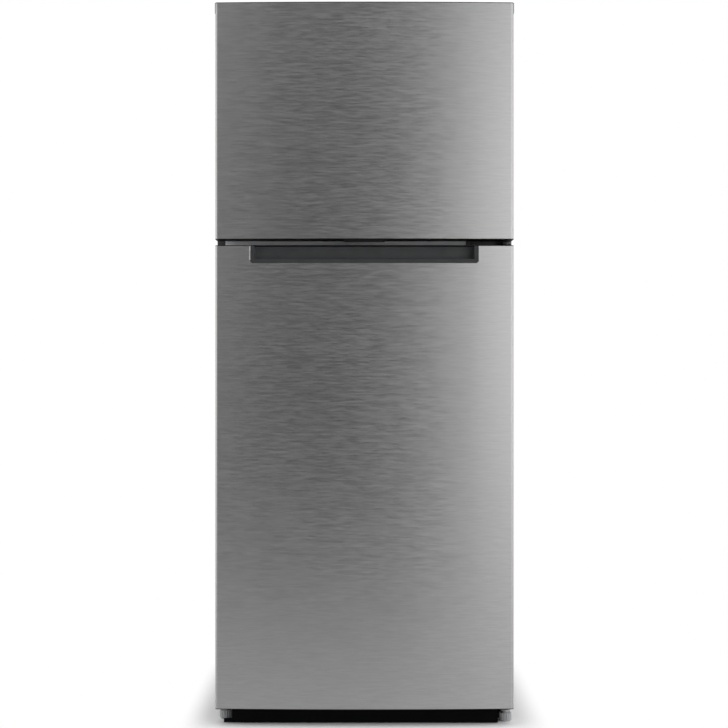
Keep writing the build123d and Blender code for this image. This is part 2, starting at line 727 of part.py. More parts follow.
def refrigerant_pipes():
    """Two tube loops and the drier, beside the compressor."""
    z = COMPRESSOR_Z + COMPRESSOR_HEIGHT * 0.3
    left = -HALF + PIPE_INSET
    tubes = []
    for index in range(2):
        x = left + PIPE_SPACING * index
        y = COMPRESSOR_Y + (index - 0.5) * PIPE_SPACING
        tubes.append(pipe((x, y, BASE_TOP), (x, y, z), (x + PIPE_LOOP, y, z), (x + PIPE_LOOP, y, BASE_TOP)))
    drier = along_x((left, left + DRIER_LENGTH), COMPRESSOR_Y, BASE_TOP + DRIER_RADIUS, DRIER_RADIUS)
    return group(*tubes, chamfer(drier.edges().filter_by(GeomType.CIRCLE), DRIER_RADIUS * 0.4))


def cover_screw_places():
    return [(x, z) for x in (-HALF + 22, HALF - 22) for z in (CABINET_BASE + 20, MACHINE_TOP - 16)]


def compressor_cover():
    """The louvred plate over the machine compartment."""
    half = HALF - SHEET - MACHINE_COVER_GAP
    z = (CABINET_BASE + MACHINE_COVER_GAP, MACHINE_TOP - FIT)
    plate = block((-half, half), (Y_BACK - SHEET, Y_BACK), z)
    slots = []
    reach = HALF * 0.2
    for x in (-HALF * 0.45, HALF * 0.45):
        for index in range(LOUVRES):
            low = CABINET_BASE + LOUVRE_PITCH * (index + 2.5)
            slots.append(block((x - reach, x + reach), (Y_BACK - SHEET, Y_BACK), (low, low + LOUVRE)))
    holes = [along_y(*cord_place(), CORD_BUSH)]
    for x, z in cover_screw_places():
        holes.append(along_y(x, (Y_BACK - SHEET, Y_BACK), z, SCREW_RADIUS + RUNNING_GAP))
    return plate - slots - holes


def cord_place():
    return (-HALF + CORD_BUSH_INSET, (Y_BACK - SHEET, Y_BACK), (CABINET_BASE + MACHINE_TOP) / 2)


def cord_inlet():
    """The bush where the mains lead leaves the cabinet."""
    x, _, z = cord_place()
    inner = Y_BACK - SHEET - FIT
    bush = along_y(x, (inner - CORD_BUSH, Y_BACK + CORD_BUSH / 2), z, CORD_BUSH - CORD_PRESS)
    bush += along_y(x, (Y_BACK, Y_BACK + CORD_BUSH * 0.4), z, CORD_BUSH * 1.4)
    bush += along_y(x, (inner - CORD_BUSH, inner), z, CORD_BUSH * 1.2)
    return bush - along_y(x, (inner - CORD_BUSH, Y_BACK + CORD_BUSH / 2), z, CORD_BUSH / 2)


# Hinges


def hinge_arm(z):
    arm = upright(HINGE_X, HINGE_Y, z, HINGE_ARM_HALF)
    return arm + block((HINGE_X - HINGE_ARM_HALF, HINGE_X + HINGE_ARM_HALF), (HINGE_Y, Y_FRONT), z)


def mid_screw_places():
    left = HINGE_X + HINGE_ARM_HALF - MID_PLATE_WIDTH
    return [(left + 16, MULLION_Z), (left + 40, MULLION_Z - 11), (left + 40, MULLION_Z + 11)]


def bottom_screw_places():
    left = HINGE_X + HINGE_ARM_HALF - BOTTOM_PLATE_WIDTH
    return [(left + 14, BOTTOM_PLATE_TOP - 9), (left + 40, BOTTOM_PLATE_TOP - 9)]


def top_screw_places():
    return [(HINGE_X - 26, Y_FRONT + 36), (HINGE_X + 2, Y_FRONT + 36), (HINGE_X - 12, Y_FRONT + 80)]


def mid_hinge():
    """A plate on the mullion with an arm between the doors and a pin each way."""
    right = HINGE_X + HINGE_ARM_HALF
    z = (MULLION_Z - MID_PLATE_HEIGHT / 2, MULLION_Z + MID_PLATE_HEIGHT / 2)
    plate = block((right - MID_PLATE_WIDTH, right), (Y_FRONT - HINGE_PLATE, Y_FRONT), z)
    plate = fillet(plate.edges().filter_by(Axis.Y), MID_PLATE_CORNER)
    for x, height in mid_screw_places():
        plate -= along_y(x, (Y_FRONT - HINGE_PLATE, Y_FRONT), height, SCREW_RADIUS + RUNNING_GAP)
    arm = hinge_arm((ARM_Z, ARM_Z + HINGE_ARM))
    pin_z = (ARM_Z - PIN_LENGTH, ARM_Z + HINGE_ARM + PIN_LENGTH)
    pin = upright(HINGE_X, HINGE_Y, pin_z, PIN_RADIUS)
    pin = chamfer(pin.edges().filter_by(GeomType.CIRCLE), PIN_CHAMFER)
    return plate + arm + pin


def bottom_hinge():
    """An angle bracket with the door's pin and the right foot's stud."""
    right = HINGE_X + HINGE_ARM_HALF
    z = (BOTTOM_ARM_Z, BOTTOM_PLATE_TOP)
    plate = block((right - BOTTOM_PLATE_WIDTH, right), (Y_FRONT - HINGE_PLATE, Y_FRONT), z)
    for x, height in bottom_screw_places():
        plate -= along_y(x, (Y_FRONT - HINGE_PLATE, Y_FRONT), height, SCREW_RADIUS + RUNNING_GAP)
    arm = hinge_arm((BOTTOM_ARM_Z, BOTTOM_ARM_Z + HINGE_ARM))
    top = BOTTOM_ARM_Z + HINGE_ARM + PIN_LENGTH
    pin = upright(HINGE_X, HINGE_Y, (BOTTOM_ARM_Z, top), PIN_RADIUS)
    pin = chamfer(pin.edges().group_by(Axis.Z)[-1], PIN_CHAMFER)
    stud = upright(*FOOT_RIGHT, (STUD_TIP, BOTTOM_ARM_Z), STUD_RADIUS)
    return plate + arm + pin + stud


def top_hinge():
    """A flat plate on the cabinet's top with a pin down into the door."""
    z = (CABINET_TOP, CABINET_TOP + HINGE_PLATE)
    right = HINGE_X + HINGE_ARM_HALF
    y = (Y_FRONT + TOP_PLATE_SETBACK, HINGE_Y + TOP_PLATE_LENGTH)
    plate = block((right - TOP_PLATE_WIDTH, right), y, z)
    plate = fillet(plate.edges().filter_by(Axis.Z), TOP_PLATE_CORNER)
    plate += upright(HINGE_X, HINGE_Y, z, HINGE_ARM_HALF)
    plate += block((HINGE_X - HINGE_ARM_HALF, right), (HINGE_Y, y[0] + TOP_ARM_OVERLAP), z)
    for place in top_screw_places():
        plate -= upright(*place, z, SCREW_RADIUS + RUNNING_GAP)
    pin = upright(HINGE_X, HINGE_Y, (z[0] - TOP_CLEARANCE - PIN_LENGTH, z[0]), PIN_RADIUS)
    return plate + chamfer(pin.edges().group_by(Axis.Z)[0], PIN_CHAMFER)


def hinge_cover():
    """The moulded cap over the top hinge."""
    x = (HINGE_X + HINGE_ARM_HALF - TOP_PLATE_WIDTH - 6, HALF - 2)
    y = (Y_FRONT - COVER_MARGIN, HINGE_Y + TOP_PLATE_LENGTH + COVER_MARGIN)
    z = (CABINET_TOP, CABINET_TOP + COVER_HEIGHT)
    nose = ((y[0], z[0]), (y[0], z[0] + COVER_NOSE), (y[0] + COVER_SLOPE, z[1]))
    shell = side_profile(nose + ((y[1], z[1]), (y[1], z[0])), x)
    shell = fillet(shell.edges().filter_by(Axis.Z).group_by(Axis.Y)[-1], TOP_PLATE_CORNER)
    shell = fillet(shell.faces().sort_by(Axis.Z)[-1].edges(), COVER_ROUND)
    hollow_y = (y[0] + COVER_MOUTH, y[1] - 3 * COVER_WALL)
    hollow = block((x[0] + COVER_WALL, x[1] - COVER_WALL), hollow_y, (z[0], z[1] - COVER_WALL))
    mouth_x = (HINGE_X - HINGE_ARM_HALF - FIT, x[1] - COVER_WALL)
    mouth = block(mouth_x, (y[0], y[0] + COVER_MOUTH), (z[0], z[0] + COVER_MOUTH_HEIGHT))
    return shell - hollow - mouth


def pan_head(height):
    head = Cylinder(SCREW_HEAD, SCREW_HEAD_HEIGHT, align=(Align.CENTER, Align.CENTER, Align.MIN))
    head = chamfer(head.edges().group_by(Axis.Z)[-1], SCREW_HEAD_HEIGHT * 0.4)
    for x, y in ((SCREW_CROSS, SCREW_CROSS_WIDTH), (SCREW_CROSS_WIDTH, SCREW_CROSS)):
        head -= Pos(0, 0, SCREW_HEAD_HEIGHT) * Box(x, y, 2 * SCREW_CROSS_WIDTH)
    return head + Cylinder(SCREW_RADIUS, height, align=(Align.CENTER, Align.CENTER, Align.MAX))


def screws():
    """The screws of the three hinges and of the plate over the machine compartment."""
    pieces = []
    for x, z in mid_screw_places() + bottom_screw_places():
        pieces.append(Pos(x, Y_FRONT - HINGE_PLATE, z) * Rot(90, 0, 0) * pan_head(HINGE_PLATE))
    for x, y in top_screw_places():
        pieces.append(Pos(x, y, CABINET_TOP + HINGE_PLATE) * pan_head(HINGE_PLATE))
    for x, z in cover_screw_places():
        pieces.append(Pos(x, Y_BACK, z) * Rot(-90, 0, 0) * pan_head(SHEET))
    return group(*pieces)


def hinge_plugs():
    """Buttons in the spare hinge holes at the other side of the top."""
    plugs = []
    for x, y in top_screw_places():
        plug = upright(-x, y, (CABINET_TOP, CABINET_TOP + PLUG_HEIGHT), SCREW_HEAD * 1.2)
        plugs.append(chamfer(plug.edges().group_by(Axis.Z)[-1], PLUG_CHAMFER))
    return group(*plugs)


# Doors


def door_outline(inset, back):
    """A door's plan: bowed front, rounded edges, straight sides."""
    half = DOOR_HALF - inset
    front = ThreePointArc((-half, Y_EDGE + inset), (0, Y_APEX + inset), (half, Y_EDGE + inset))
    sides = Polyline((half, Y_EDGE + inset), (half, back), (-half, back), (-half, Y_EDGE + inset))
    face = make_face([front, sides])
    return fillet(face.vertices().group_by(Axis.Y)[0], max(DOOR_CORNER - inset, 1.0))


def pocket_space(grow, z):
    """The notch in the fridge door for the pocket handle."""
    half = POCKET_WIDTH / 2 + grow
    low = FRIDGE_DOOR_TOP - POCKET_HEIGHT - grow
    notch = block((-half, half), (Y_APEX - 5, Y_APEX + POCKET_DEPTH + grow), (low, z))
    return fillet(notch.edges().filter_by(Axis.Y).group_by(Axis.Z)[0], POCKET_CORNER)


def door_skin(door):
    """The folded steel front with its two sides."""
    face = door_outline(0, Y_DOOR_BACK) - door_outline(SHEET, Y_DOOR_BACK + SHEET)
    return plan_profile(face, (door.bottom + CAP_LIP, door.top - CAP_LIP))


def fridge_door_skin():
    return door_skin(FRIDGE_DOOR) - pocket_space(0, FRIDGE_DOOR_TOP)


def pan_face(door, wall):
    """Plan of the raised inner panel with its two dykes."""
    half = door.cavity.half - PAN_GAP
    right = (
        (half - DYKE_WIDTH + wall, Y_PAN - wall),
        (half - DYKE_WIDTH + DYKE_DRAFT + wall, Y_DYKE - wall),
        (half - DYKE_DRAFT - wall, Y_DYKE - wall),
        (half - wall, Y_DOOR_BACK - LINER),
    )
    left = tuple((-x, y) for x, y in reversed(right))
    face = make_face(Polyline(*left, *right, close=True))
    tips = face.vertices().group_by(Axis.Y)[-1]
    return fillet(tips, DYKE_ROUND - wall)


def pan_solid(door, wall):
    z = (door.cavity.bottom + PAN_GAP + wall, door.cavity.top - PAN_GAP - wall)
    return plan_profile(pan_face(door, wall), z)


def door_foam(door):
    core = door_outline(SHEET, Y_DOOR_BACK - LINER)
    foam = plan_profile(core, (door.bottom + CAP_DEPTH, door.top - CAP_DEPTH))
    return foam + pan_solid(door, LINER)


def fridge_door_foam():
    return door_foam(FRIDGE_DOOR) - pocket_space(0, FRIDGE_DOOR_TOP)


def door_liner(door):
    """The moulded inner panel with lugs under the bins."""
    half = DOOR_HALF - SHEET
    z = (door.bottom + CAP_LIP, door.top - CAP_LIP)
    liner = block((-half, half), (Y_DOOR_BACK - LINER, Y_DOOR_BACK), z)
    liner = liner + pan_solid(door, 0) - pan_solid(door, LINER)
    inner = door.cavity.half - PAN_GAP - DYKE_WIDTH
    for height, _ in door.bins:
        lug_x = (inner - LUG, inner + DYKE_DRAFT + LINER / 2)
        lug = block(lug_x, (Y_PAN - LINER / 2, Y_PAN + LUG_LENGTH), (height - LUG, height))
        liner += lug + mirrored(lug)
    return liner - pan_solid(door, LINER)


def bush_hole(door, top):
    z = (door.top - BUSH_LENGTH, door.top) if top else (door.bottom, door.bottom + BUSH_LENGTH)
    return upright(HINGE_X, HINGE_Y, z, BUSH_RADIUS)


def door_cap(door, top):
    """A moulded end cap: a lip over the skin's edge and a plug inside the door."""
    if top:
        lip_z = (door.top - CAP_LIP, door.top)
        plug_z = (door.top - CAP_DEPTH, door.top)
    else:
        lip_z = (door.bottom, door.bottom + CAP_LIP)
        plug_z = (door.bottom, door.bottom + CAP_DEPTH)
    cap = plan_profile(door_outline(0, Y_DOOR_BACK), lip_z)
    cap += plan_profile(door_outline(SHEET, Y_DOOR_BACK - LINER), plug_z)
    return cap - bush_hole(door, top)


def freezer_door_top_cap():
    """The top cap with a cheek on each side of the door."""
    door = FREEZER_DOOR
    y = (Y_EDGE + DOOR_CORNER, Y_DOOR_BACK)
    cheek = block((DOOR_HALF, DOOR_HALF + DOOR_INSET), y, (door.top - CHEEK_HEIGHT, door.top))
    cheek += block((DOOR_HALF - 3, DOOR_HALF), y, (door.top - CAP_LIP, door.top))
    return door_cap(door, True) + cheek + mirrored(cheek)


def freezer_door_bottom_cap():
    """The bottom cap with a finger grip behind a short lip."""
    z = FREEZER_DOOR.bottom
    half = GRIP_WIDTH / 2
    y = (Y_APEX + GRIP_WALL, Y_APEX + GRIP_WALL + GRIP_DEPTH)
    grip = block((-half, half), y, (z, z + GRIP_HEIGHT))
    grip = fillet(grip.edges().filter_by(Axis.Z), GRIP_CORNER)
    lip_half = GRIP_LIP_WIDTH / 2
    drop = z - GRIP_LIP_DROP
    root = lip_half + GRIP_LIP_SLOPE
    points = ((-root, z), (-lip_half, drop), (lip_half, drop), (root, z))
    front = Plane((0, Y_APEX + GRIP_LIP_SETBACK, 0), x_dir=(1, 0, 0), z_dir=(0, -1, 0))
    lip = extrude(front * make_face(Polyline(*points, close=True)), amount=-GRIP_LIP_DEPTH)
    return door_cap(FREEZER_DOOR, False) - grip + lip


def fridge_door_top_cap():
    notch = pocket_space(0, FRIDGE_DOOR_TOP - CAP_LIP)
    return door_cap(FRIDGE_DOOR, True) - notch


def fridge_handle_pocket():
    """The moulded pocket: a rim in the door's front and a trough behind its lower edge."""
    top = FRIDGE_DOOR_TOP - CAP_LIP
    low = FRIDGE_DOOR_TOP - POCKET_HEIGHT
    shape = plan_profile(door_outline(0, Y_DOOR_BACK), (low - 1, top))
    body = pocket_space(0, top) & shape
    back = Y_APEX + POCKET_DEPTH - POCKET_WALL
    rim = low + POCKET_LOW_RIM
    lip = Y_APEX + POCKET_LIP
    points = (
        (Y_APEX - TROUGH_SLOPE, rim - POCKET_BEVEL),
        (lip - POCKET_BEVEL, rim),
        (lip + POCKET_BEVEL / 2, rim - POCKET_BEVEL),
        (lip + POCKET_BEVEL * 1.5, low + POCKET_WALL),
        (back - TROUGH_SLOPE, low + POCKET_WALL),
        (back, low + POCKET_WALL + TROUGH_RISE),
        (back, top),
        (Y_APEX - TROUGH_SLOPE, top),
    )
    half = POCKET_WIDTH / 2 - POCKET_SIDE_RIM
    trough = side_profile(points, (-half, half))
    return body - fillet(trough.edges().filter_by(Axis.X).group_by(Axis.Y)[-1], POCKET_ROUND)


def door_gasket(door):
    """A magnetic seal: a narrow foot on the door and a wider bulb against the cabinet."""
    z = (door.bottom + GASKET_INSET, door.top - GASKET_INSET)

    def ring(inset, width, y):
        half = GASKET_HALF - inset
        outer = block((-half, half), y, (z[0] + inset, z[1] - inset))
        outer = fillet(outer.edges().filter_by(Axis.Y), GASKET_CORNER)
        inner = block((-half + width, half - width), y, (z[0] + inset + width, z[1] - inset - width))
        return outer - inner

    bulb_y = Y_DOOR_BACK + GASKET_BASE
    sole = ring(GASKET_FOOT_INSET, GASKET_WIDTH - 2 * GASKET_FOOT_INSET, (Y_DOOR_BACK, bulb_y))
    return sole + ring(0, GASKET_WIDTH, (bulb_y, Y_FRONT))


def bin_profile(height, wall, rise):
    """Side view of a bin: upright back, sloping front, sides falling to the front."""
    y = (Y_PAN + FIT + wall, Y_PAN + BIN_DEPTH - wall)
    low = height + wall
    return (
        (y[0], low),
        (y[1] - BIN_SLOPE, low),
        (y[1], height + rise * BIN_FRONT_SHARE),
        (y[0] + BIN_SIDE_SHARE * BIN_DEPTH, height + rise * BIN_FRONT_SHARE),
        (y[0], height + rise),
    )


def front_corners(solid, half, rise):
    """The two sloping edges at the front of a bin."""
    edges = solid.edges().filter_by(lambda e: abs(e.center().X) > half - 1 and e.length > rise * 0.5)
    return edges.filter_by(lambda e: e.center().Y > Y_PAN + 0.8 * BIN_DEPTH)


def door_bin(door, height, rise):
    half = door.cavity.half - PAN_GAP - DYKE_WIDTH - FIT
    outer = side_profile(bin_profile(height, 0, rise), (-half, half))
    outer = fillet(front_corners(outer, half, rise), BIN_CORNER)
    half -= BIN_WALL
    inner = side_profile(bin_profile(height, BIN_WALL, rise + 4), (-half, half))
    return outer - fillet(front_corners(inner, half, rise), BIN_CORNER - BIN_WALL)


def door_bins(door):
    return group(*[door_bin(door, height, rise) for height, rise in door.bins])


def bush(z, collar):
    """A plastic sleeve round a hinge pin."""
    sleeve = upright(HINGE_X, HINGE_Y, z, BUSH_RADIUS)
    sleeve += upright(HINGE_X, HINGE_Y, collar, BUSH_RADIUS + BUSH_COLLAR)
    low = min(z[0], collar[0])
    return sleeve - upright(HINGE_X, HINGE_Y, (low, max(z[1], collar[1])), PIN_RADIUS + PIN_CLEARANCE)


def freezer_door_bushes():
    low = FREEZER_DOOR.bottom
    high = FREEZER_DOOR.top
    carrying = bush((low, low + BUSH_LENGTH), (ARM_Z + HINGE_ARM + RUNNING_GAP, low))
    guiding = bush((high - BUSH_LENGTH, high), (high, high + TOP_CLEARANCE / 2))
    return group(carrying, guiding)


def fridge_door_bushes():
    low = FRIDGE_DOOR.bottom
    high = FRIDGE_DOOR.top
    carrying = bush((low, low + BUSH_LENGTH), (BOTTOM_ARM_Z + HINGE_ARM + RUNNING_GAP, low))
    guiding = bush((high - BUSH_LENGTH, high), (high, high + TOP_CLEARANCE))
    return group(carrying, guiding)


# Inside the freezer


def shelf_back(cavity):
    return cavity.back - SHELF_BACK_GAP - (DUCT_DEPTH if cavity is FRIDGE else COIL_COVER_GAP)


def shelf_pane(cavity, height):
    half = cavity.half - SHELF_GAP
    return block((-half, half), (Y_SHELF + TRIM_DEPTH / 2, shelf_back(cavity)), (height, height + GLASS))


def shelf_trim(cavity, height):
    """The strip that holds a pane's front edge."""
    half = cavity.half - SHELF_GAP
    top = height + GLASS + TRIM_LIP
    z = (top - TRIM_HEIGHT, top)
    trim = block((-half, half), (Y_SHELF, Y_SHELF + TRIM_DEPTH), z)
    trim = fillet(trim.edges().filter_by(Axis.X).group_by(Axis.Y)[0], TRIM_ROUND)
    slot = block((-half, half), (Y_SHELF + TRIM_DEPTH / 2, Y_SHELF + TRIM_DEPTH), (height, height + GLASS))
    return trim - slot


def all_shelves():
    return [(FREEZER, FREEZER_SHELF)] + [(FRIDGE, height) for height in FRIDGE_SHELVES]


def shelf_panes():
    return group(*[shelf_pane(cavity, height) for cavity, height in all_shelves()])


def shelf_trims():
    return group(*[shelf_trim(cavity, height) for cavity, height in all_shelves()])


def evaporator_cover():
    """The panel across the freezer's back, with air slots and the fan's grille."""
    half = FREEZER.half - COIL_COVER_SIDE
    y = (Y_COIL_COVER, Y_COIL_COVER + COIL_COVER)
    panel = block((-half, half), y, (FREEZER.bottom, FREEZER.top))
    panel = fillet(panel.edges().filter_by(Axis.Y), LINER_RADIUS + FIT)
    leg_z = (FREEZER.bottom + COIL_COVER_LEG, FREEZER.top - COIL_COVER_LEG)
    outside = half - LINER_RADIUS - TRIM_LIP
    leg = block((outside - COIL_COVER, outside), (y[0], FREEZER.back), leg_z)
    panel += leg + mirrored(leg)
    slots = []
    for index in range(FAN_SLOTS):
        rise = (index - (FAN_SLOTS - 1) / 2) * FAN_SLOT_PITCH
        reach = (FAN_RADIUS**2 - rise**2) ** 0.5 - FAN_SPOKE / 2
        slot = block((FAN_SPOKE, reach), y, (FAN_Z + rise - FAN_SLOT / 2, FAN_Z + rise + FAN_SLOT / 2))
        slots += [slot, mirrored(slot)]
    low = FREEZER.bottom + AIR_SLOT_RISE
    for index in range(AIR_SLOTS):
        x = -half + AIR_SLOT_INSET + index * 2 * (half - AIR_SLOT_INSET) / AIR_SLOTS
        slots.append(block((x, x + AIR_SLOT_WIDTH), y, (low, low + AIR_SLOT_HEIGHT)))
    shaft = along_y(FREEZER_DIAL_X, y, FAN_Z, DIAL_SHAFT + RUNNING_GAP)
    return panel - slots - shaft


def evaporator():
    """A finned coil."""
    back = FREEZER.back
    y = (back - COIL_DEPTH, back)
    z = (FREEZER.bottom + LINER_RADIUS, FREEZER.bottom + LINER_RADIUS + COIL_HEIGHT)
    half = COIL_WIDTH / 2
    coil = block((-half, half), (back - COIL_PLATE, back), z)
    for index in range(COIL_FINS):
        x = -half + index * (COIL_WIDTH - FIN) / (COIL_FINS - 1)
        coil += block((x, x + FIN), y, z)
    reach = half + COIL_TUBE_END
    for index in range(COIL_TUBES):
        height = z[0] + COIL_TUBE_INSET + index * (COIL_HEIGHT - 2 * COIL_TUBE_INSET) / (COIL_TUBES - 1)
        coil += along_x((-reach, reach), back - COIL_DEPTH / 2, height, COIL_TUBE)
    return coil


def fan_motor():
    """Carries the fan on its shaft; stands on a round foot at the liner's back."""
    y = (FREEZER.back - MOTOR_LENGTH, FREEZER.back)
    motor = along_y(0, y, FAN_Z, MOTOR_RADIUS)
    motor += along_y(0, (FREEZER.back - MOTOR_FOOT, FREEZER.back), FAN_Z, MOTOR_RADIUS + MOTOR_FOOT_EDGE)
    return motor + along_y(0, (y[0] - FAN_DEPTH, y[0]), FAN_Z, MOTOR_SHAFT)


def evaporator_fan():
    """A hub with pitched blades."""
    end = FREEZER.back - MOTOR_LENGTH - FAN_GAP
    y = (end - FAN_DEPTH, end)
    fan = along_y(0, y, FAN_Z, FAN_HUB)
    middle = (y[0] + y[1]) / 2
    for index in range(FAN_BLADES):
        length = FAN_RADIUS - FAN_HUB - FAN_TIP_GAP + FAN_ROOT
        blade = Box(length, FAN_BLADE, FAN_BLADE_WIDTH, align=(Align.MIN, Align.CENTER, Align.CENTER))
        blade = Pos(FAN_HUB - FAN_ROOT, 0, 0) * Rot(FAN_PITCH, 0, 0) * blade
        fan += Pos(0, middle, FAN_Z) * Rot(0, 360 / FAN_BLADES * index, 0) * blade
    return fan - along_y(0, (y[0] + 1, y[1]), FAN_Z, MOTOR_SHAFT + PIN_CLEARANCE)


def dial(x, y, z):
    """A round knob with a grip bar, its shaft running back into its panel."""
    knob = along_y(x, (y - DIAL_DEPTH, y - RUNNING_GAP), z, DIAL_RADIUS)
    knob = fillet(knob.edges().group_by(Axis.Y)[0], DIAL_ROUND)
    cut = (DIAL_BAR, DIAL_RADIUS)
    cut_y = (y - DIAL_DEPTH, y - DIAL_DEPTH / 2)
    cut_z = (z - DIAL_RADIUS, z + DIAL_RADIUS)
    knob -= block((x + cut[0], x + cut[1]), cut_y, cut_z)
    knob -= block((x - cut[1], x - cut[0]), cut_y, cut_z)
    return knob + along_y(x, (y - RUNNING_GAP - 1, y + COIL_COVER - 0.5), z, DIAL_SHAFT)


def freezer_dial():
    return dial(FREEZER_DIAL_X, Y_COIL_COVER, FAN_Z)


# Inside the fridge


def thermostat_dial():
    return dial(-BOX_WIDTH / 4, BOX_FRONT, DIAL_Z)


def air_duct():
    """The cold-air channel up the fridge's back, with outlets between the shelves."""
    half = DUCT_WIDTH / 2
    y = (FRIDGE.back - DUCT_DEPTH, FRIDGE.back)
    z = (HUMP_TOP + LINER_RADIUS, FRIDGE.top - LINER_RADIUS)
    duct = block((-half, half), y, z)
    duct = chamfer(duct.edges().filter_by(Axis.Z).group_by(Axis.Y)[0], DUCT_CHAMFER)
    inner = half - DUCT_SIDE
    duct -= block((-inner, inner), (y[0] + DUCT_WALL, y[1]), (z[0] + DUCT_WALL, z[1] - DUCT_WALL))
    for height in FRIDGE_SHELVES:
        for index in range(OUTLETS):
            low = height + OUTLET_RISE + index * OUTLET_PITCH
            outlet = block(OUTLET_X, (y[0], y[0] + DUCT_WALL), (low, low + OUTLET))
            duct -= [outlet, mirrored(outlet)]
    return duct


def control_box():
    """The housing under the fridge's ceiling for the thermostat and the lamp."""
    half = BOX_WIDTH / 2
    z = (FRIDGE.top - BOX_HEIGHT, FRIDGE.top)
    box = block((-half, half), (BOX_FRONT, BOX_FRONT + BOX_DEPTH), z)
    box = fillet(box.edges().filter_by(Axis.Z), BOX_CORNER)
    box = fillet(box.faces().sort_by(Axis.Z)[0].edges(), BOX_ROUND)
    return box - along_y(-half / 2, (BOX_FRONT, BOX_FRONT + BOX_BORE), DIAL_Z, DIAL_SHAFT + RUNNING_GAP)


def lamp_cover():
    """The ribbed lens under the control box."""
    middle = BOX_FRONT + BOX_DEPTH / 2
    y = (middle - LAMP_DEPTH / 2, middle + LAMP_DEPTH / 2)
    z = (FRIDGE.top - BOX_HEIGHT - LAMP_DROP, FRIDGE.top - BOX_HEIGHT)
    lens = block((-LAMP_WIDTH / 2, LAMP_WIDTH / 2), y, z)
    lens = fillet(lens.edges().filter_by(Axis.Z), LAMP_CORNER)
    lens = fillet(lens.faces().sort_by(Axis.Z)[0].edges(), LAMP_ROUND)
    groove_y = (y[0] + LAMP_MARGIN, y[1] - LAMP_MARGIN)
    half = LAMP_GROOVE / 2
    for index in range(LAMP_GROOVES):
        x = -LAMP_WIDTH / 2 + LAMP_MARGIN + index * (LAMP_WIDTH - 2 * LAMP_MARGIN) / (LAMP_GROOVES - 1)
        lens -= block((x - half, x + half), groove_y, (z[0], z[0] + LAMP_GROOVE_DEPTH))
    return lens


def switch_housing():
    """The door switch's body under the ceiling."""
    x = (SWITCH_X - SWITCH_WIDTH / 2, SWITCH_X + SWITCH_WIDTH / 2)
    y = (Y_PAN + PLUNGER_REACH, Y_PAN + PLUNGER_REACH + SWITCH_LENGTH)
    body = block(x, y, (FRIDGE.top - SWITCH_HEIGHT, FRIDGE.top))
    body = chamfer(body.faces().sort_by(Axis.Z)[0].edges(), SWITCH_CHAMFER)
    return body - along_y(SWITCH_X, (y[0], y[1] - SWITCH_WALL), SWITCH_Z, PLUNGER_RADIUS + RUNNING_GAP)


def switch_plunger():
    y = (Y_PAN + FIT, Y_PAN + PLUNGER_REACH + SWITCH_LENGTH - SWITCH_WALL - PLUNGER_TRAVEL)
    return fillet(along_y(SWITCH_X, y, SWITCH_Z, PLUNGER_RADIUS).edges().group_by(Axis.Y)[0], PLUNGER_ROUND)


def drawer_shell(x, wall):
    """A tapering tub, wider at the top."""
    z = (FRIDGE.bottom + FIT + wall, FRIDGE_SHELVES[0] - DRAWER_TOP_GAP + (1 if wall else 0))
    y = (Y_DRAWER, HUMP_Y - DRAWER_HUMP_GAP)
    narrow = DRAWER_TAPER + wall
    low = ((x[0] + narrow, x[1] - narrow), (y[0] + wall, y[1] - narrow))
    high = ((x[0] + wall, x[1] - wall), (y[0] + wall, y[1] - wall))
    rims = []
    for (xs, ys), height in zip((low, high), z):
        place = Plane(((xs[0] + xs[1]) / 2, (ys[0] + ys[1]) / 2, height))
        rims.append(place * RectangleRounded(xs[1] - xs[0], ys[1] - ys[0], DRAWER_CORNER - wall))
    return loft(rims)


def crisper_drawer(side):
    """A clear vegetable drawer with a grip along the top of its front."""
    inner = DRAWER_GAP / 2
    outer = FRIDGE.half - DRAWER_SIDE_GAP
    x = tuple(sorted((side * inner, side * outer)))
    top = FRIDGE_SHELVES[0] - DRAWER_TOP_GAP
    tub = drawer_shell(x, 0)
    front = Y_DRAWER - DRAWER_GRIP
    edge = top - DRAWER_GRIP_DROP
    under = top - DRAWER_GRIP_WALL
    points = (
        (Y_DRAWER + DRAWER_WALL / 2, top),
        (front, top),
        (front, edge),
        (front + DRAWER_GRIP_WALL - 1, edge),
        (front + DRAWER_GRIP_WALL, under),
        (Y_DRAWER + DRAWER_WALL / 2, under),
    )
    grip = side_profile(points, (x[0] + DRAWER_CORNER, x[1] - DRAWER_CORNER))
    return tub + grip - drawer_shell(x, DRAWER_WALL)


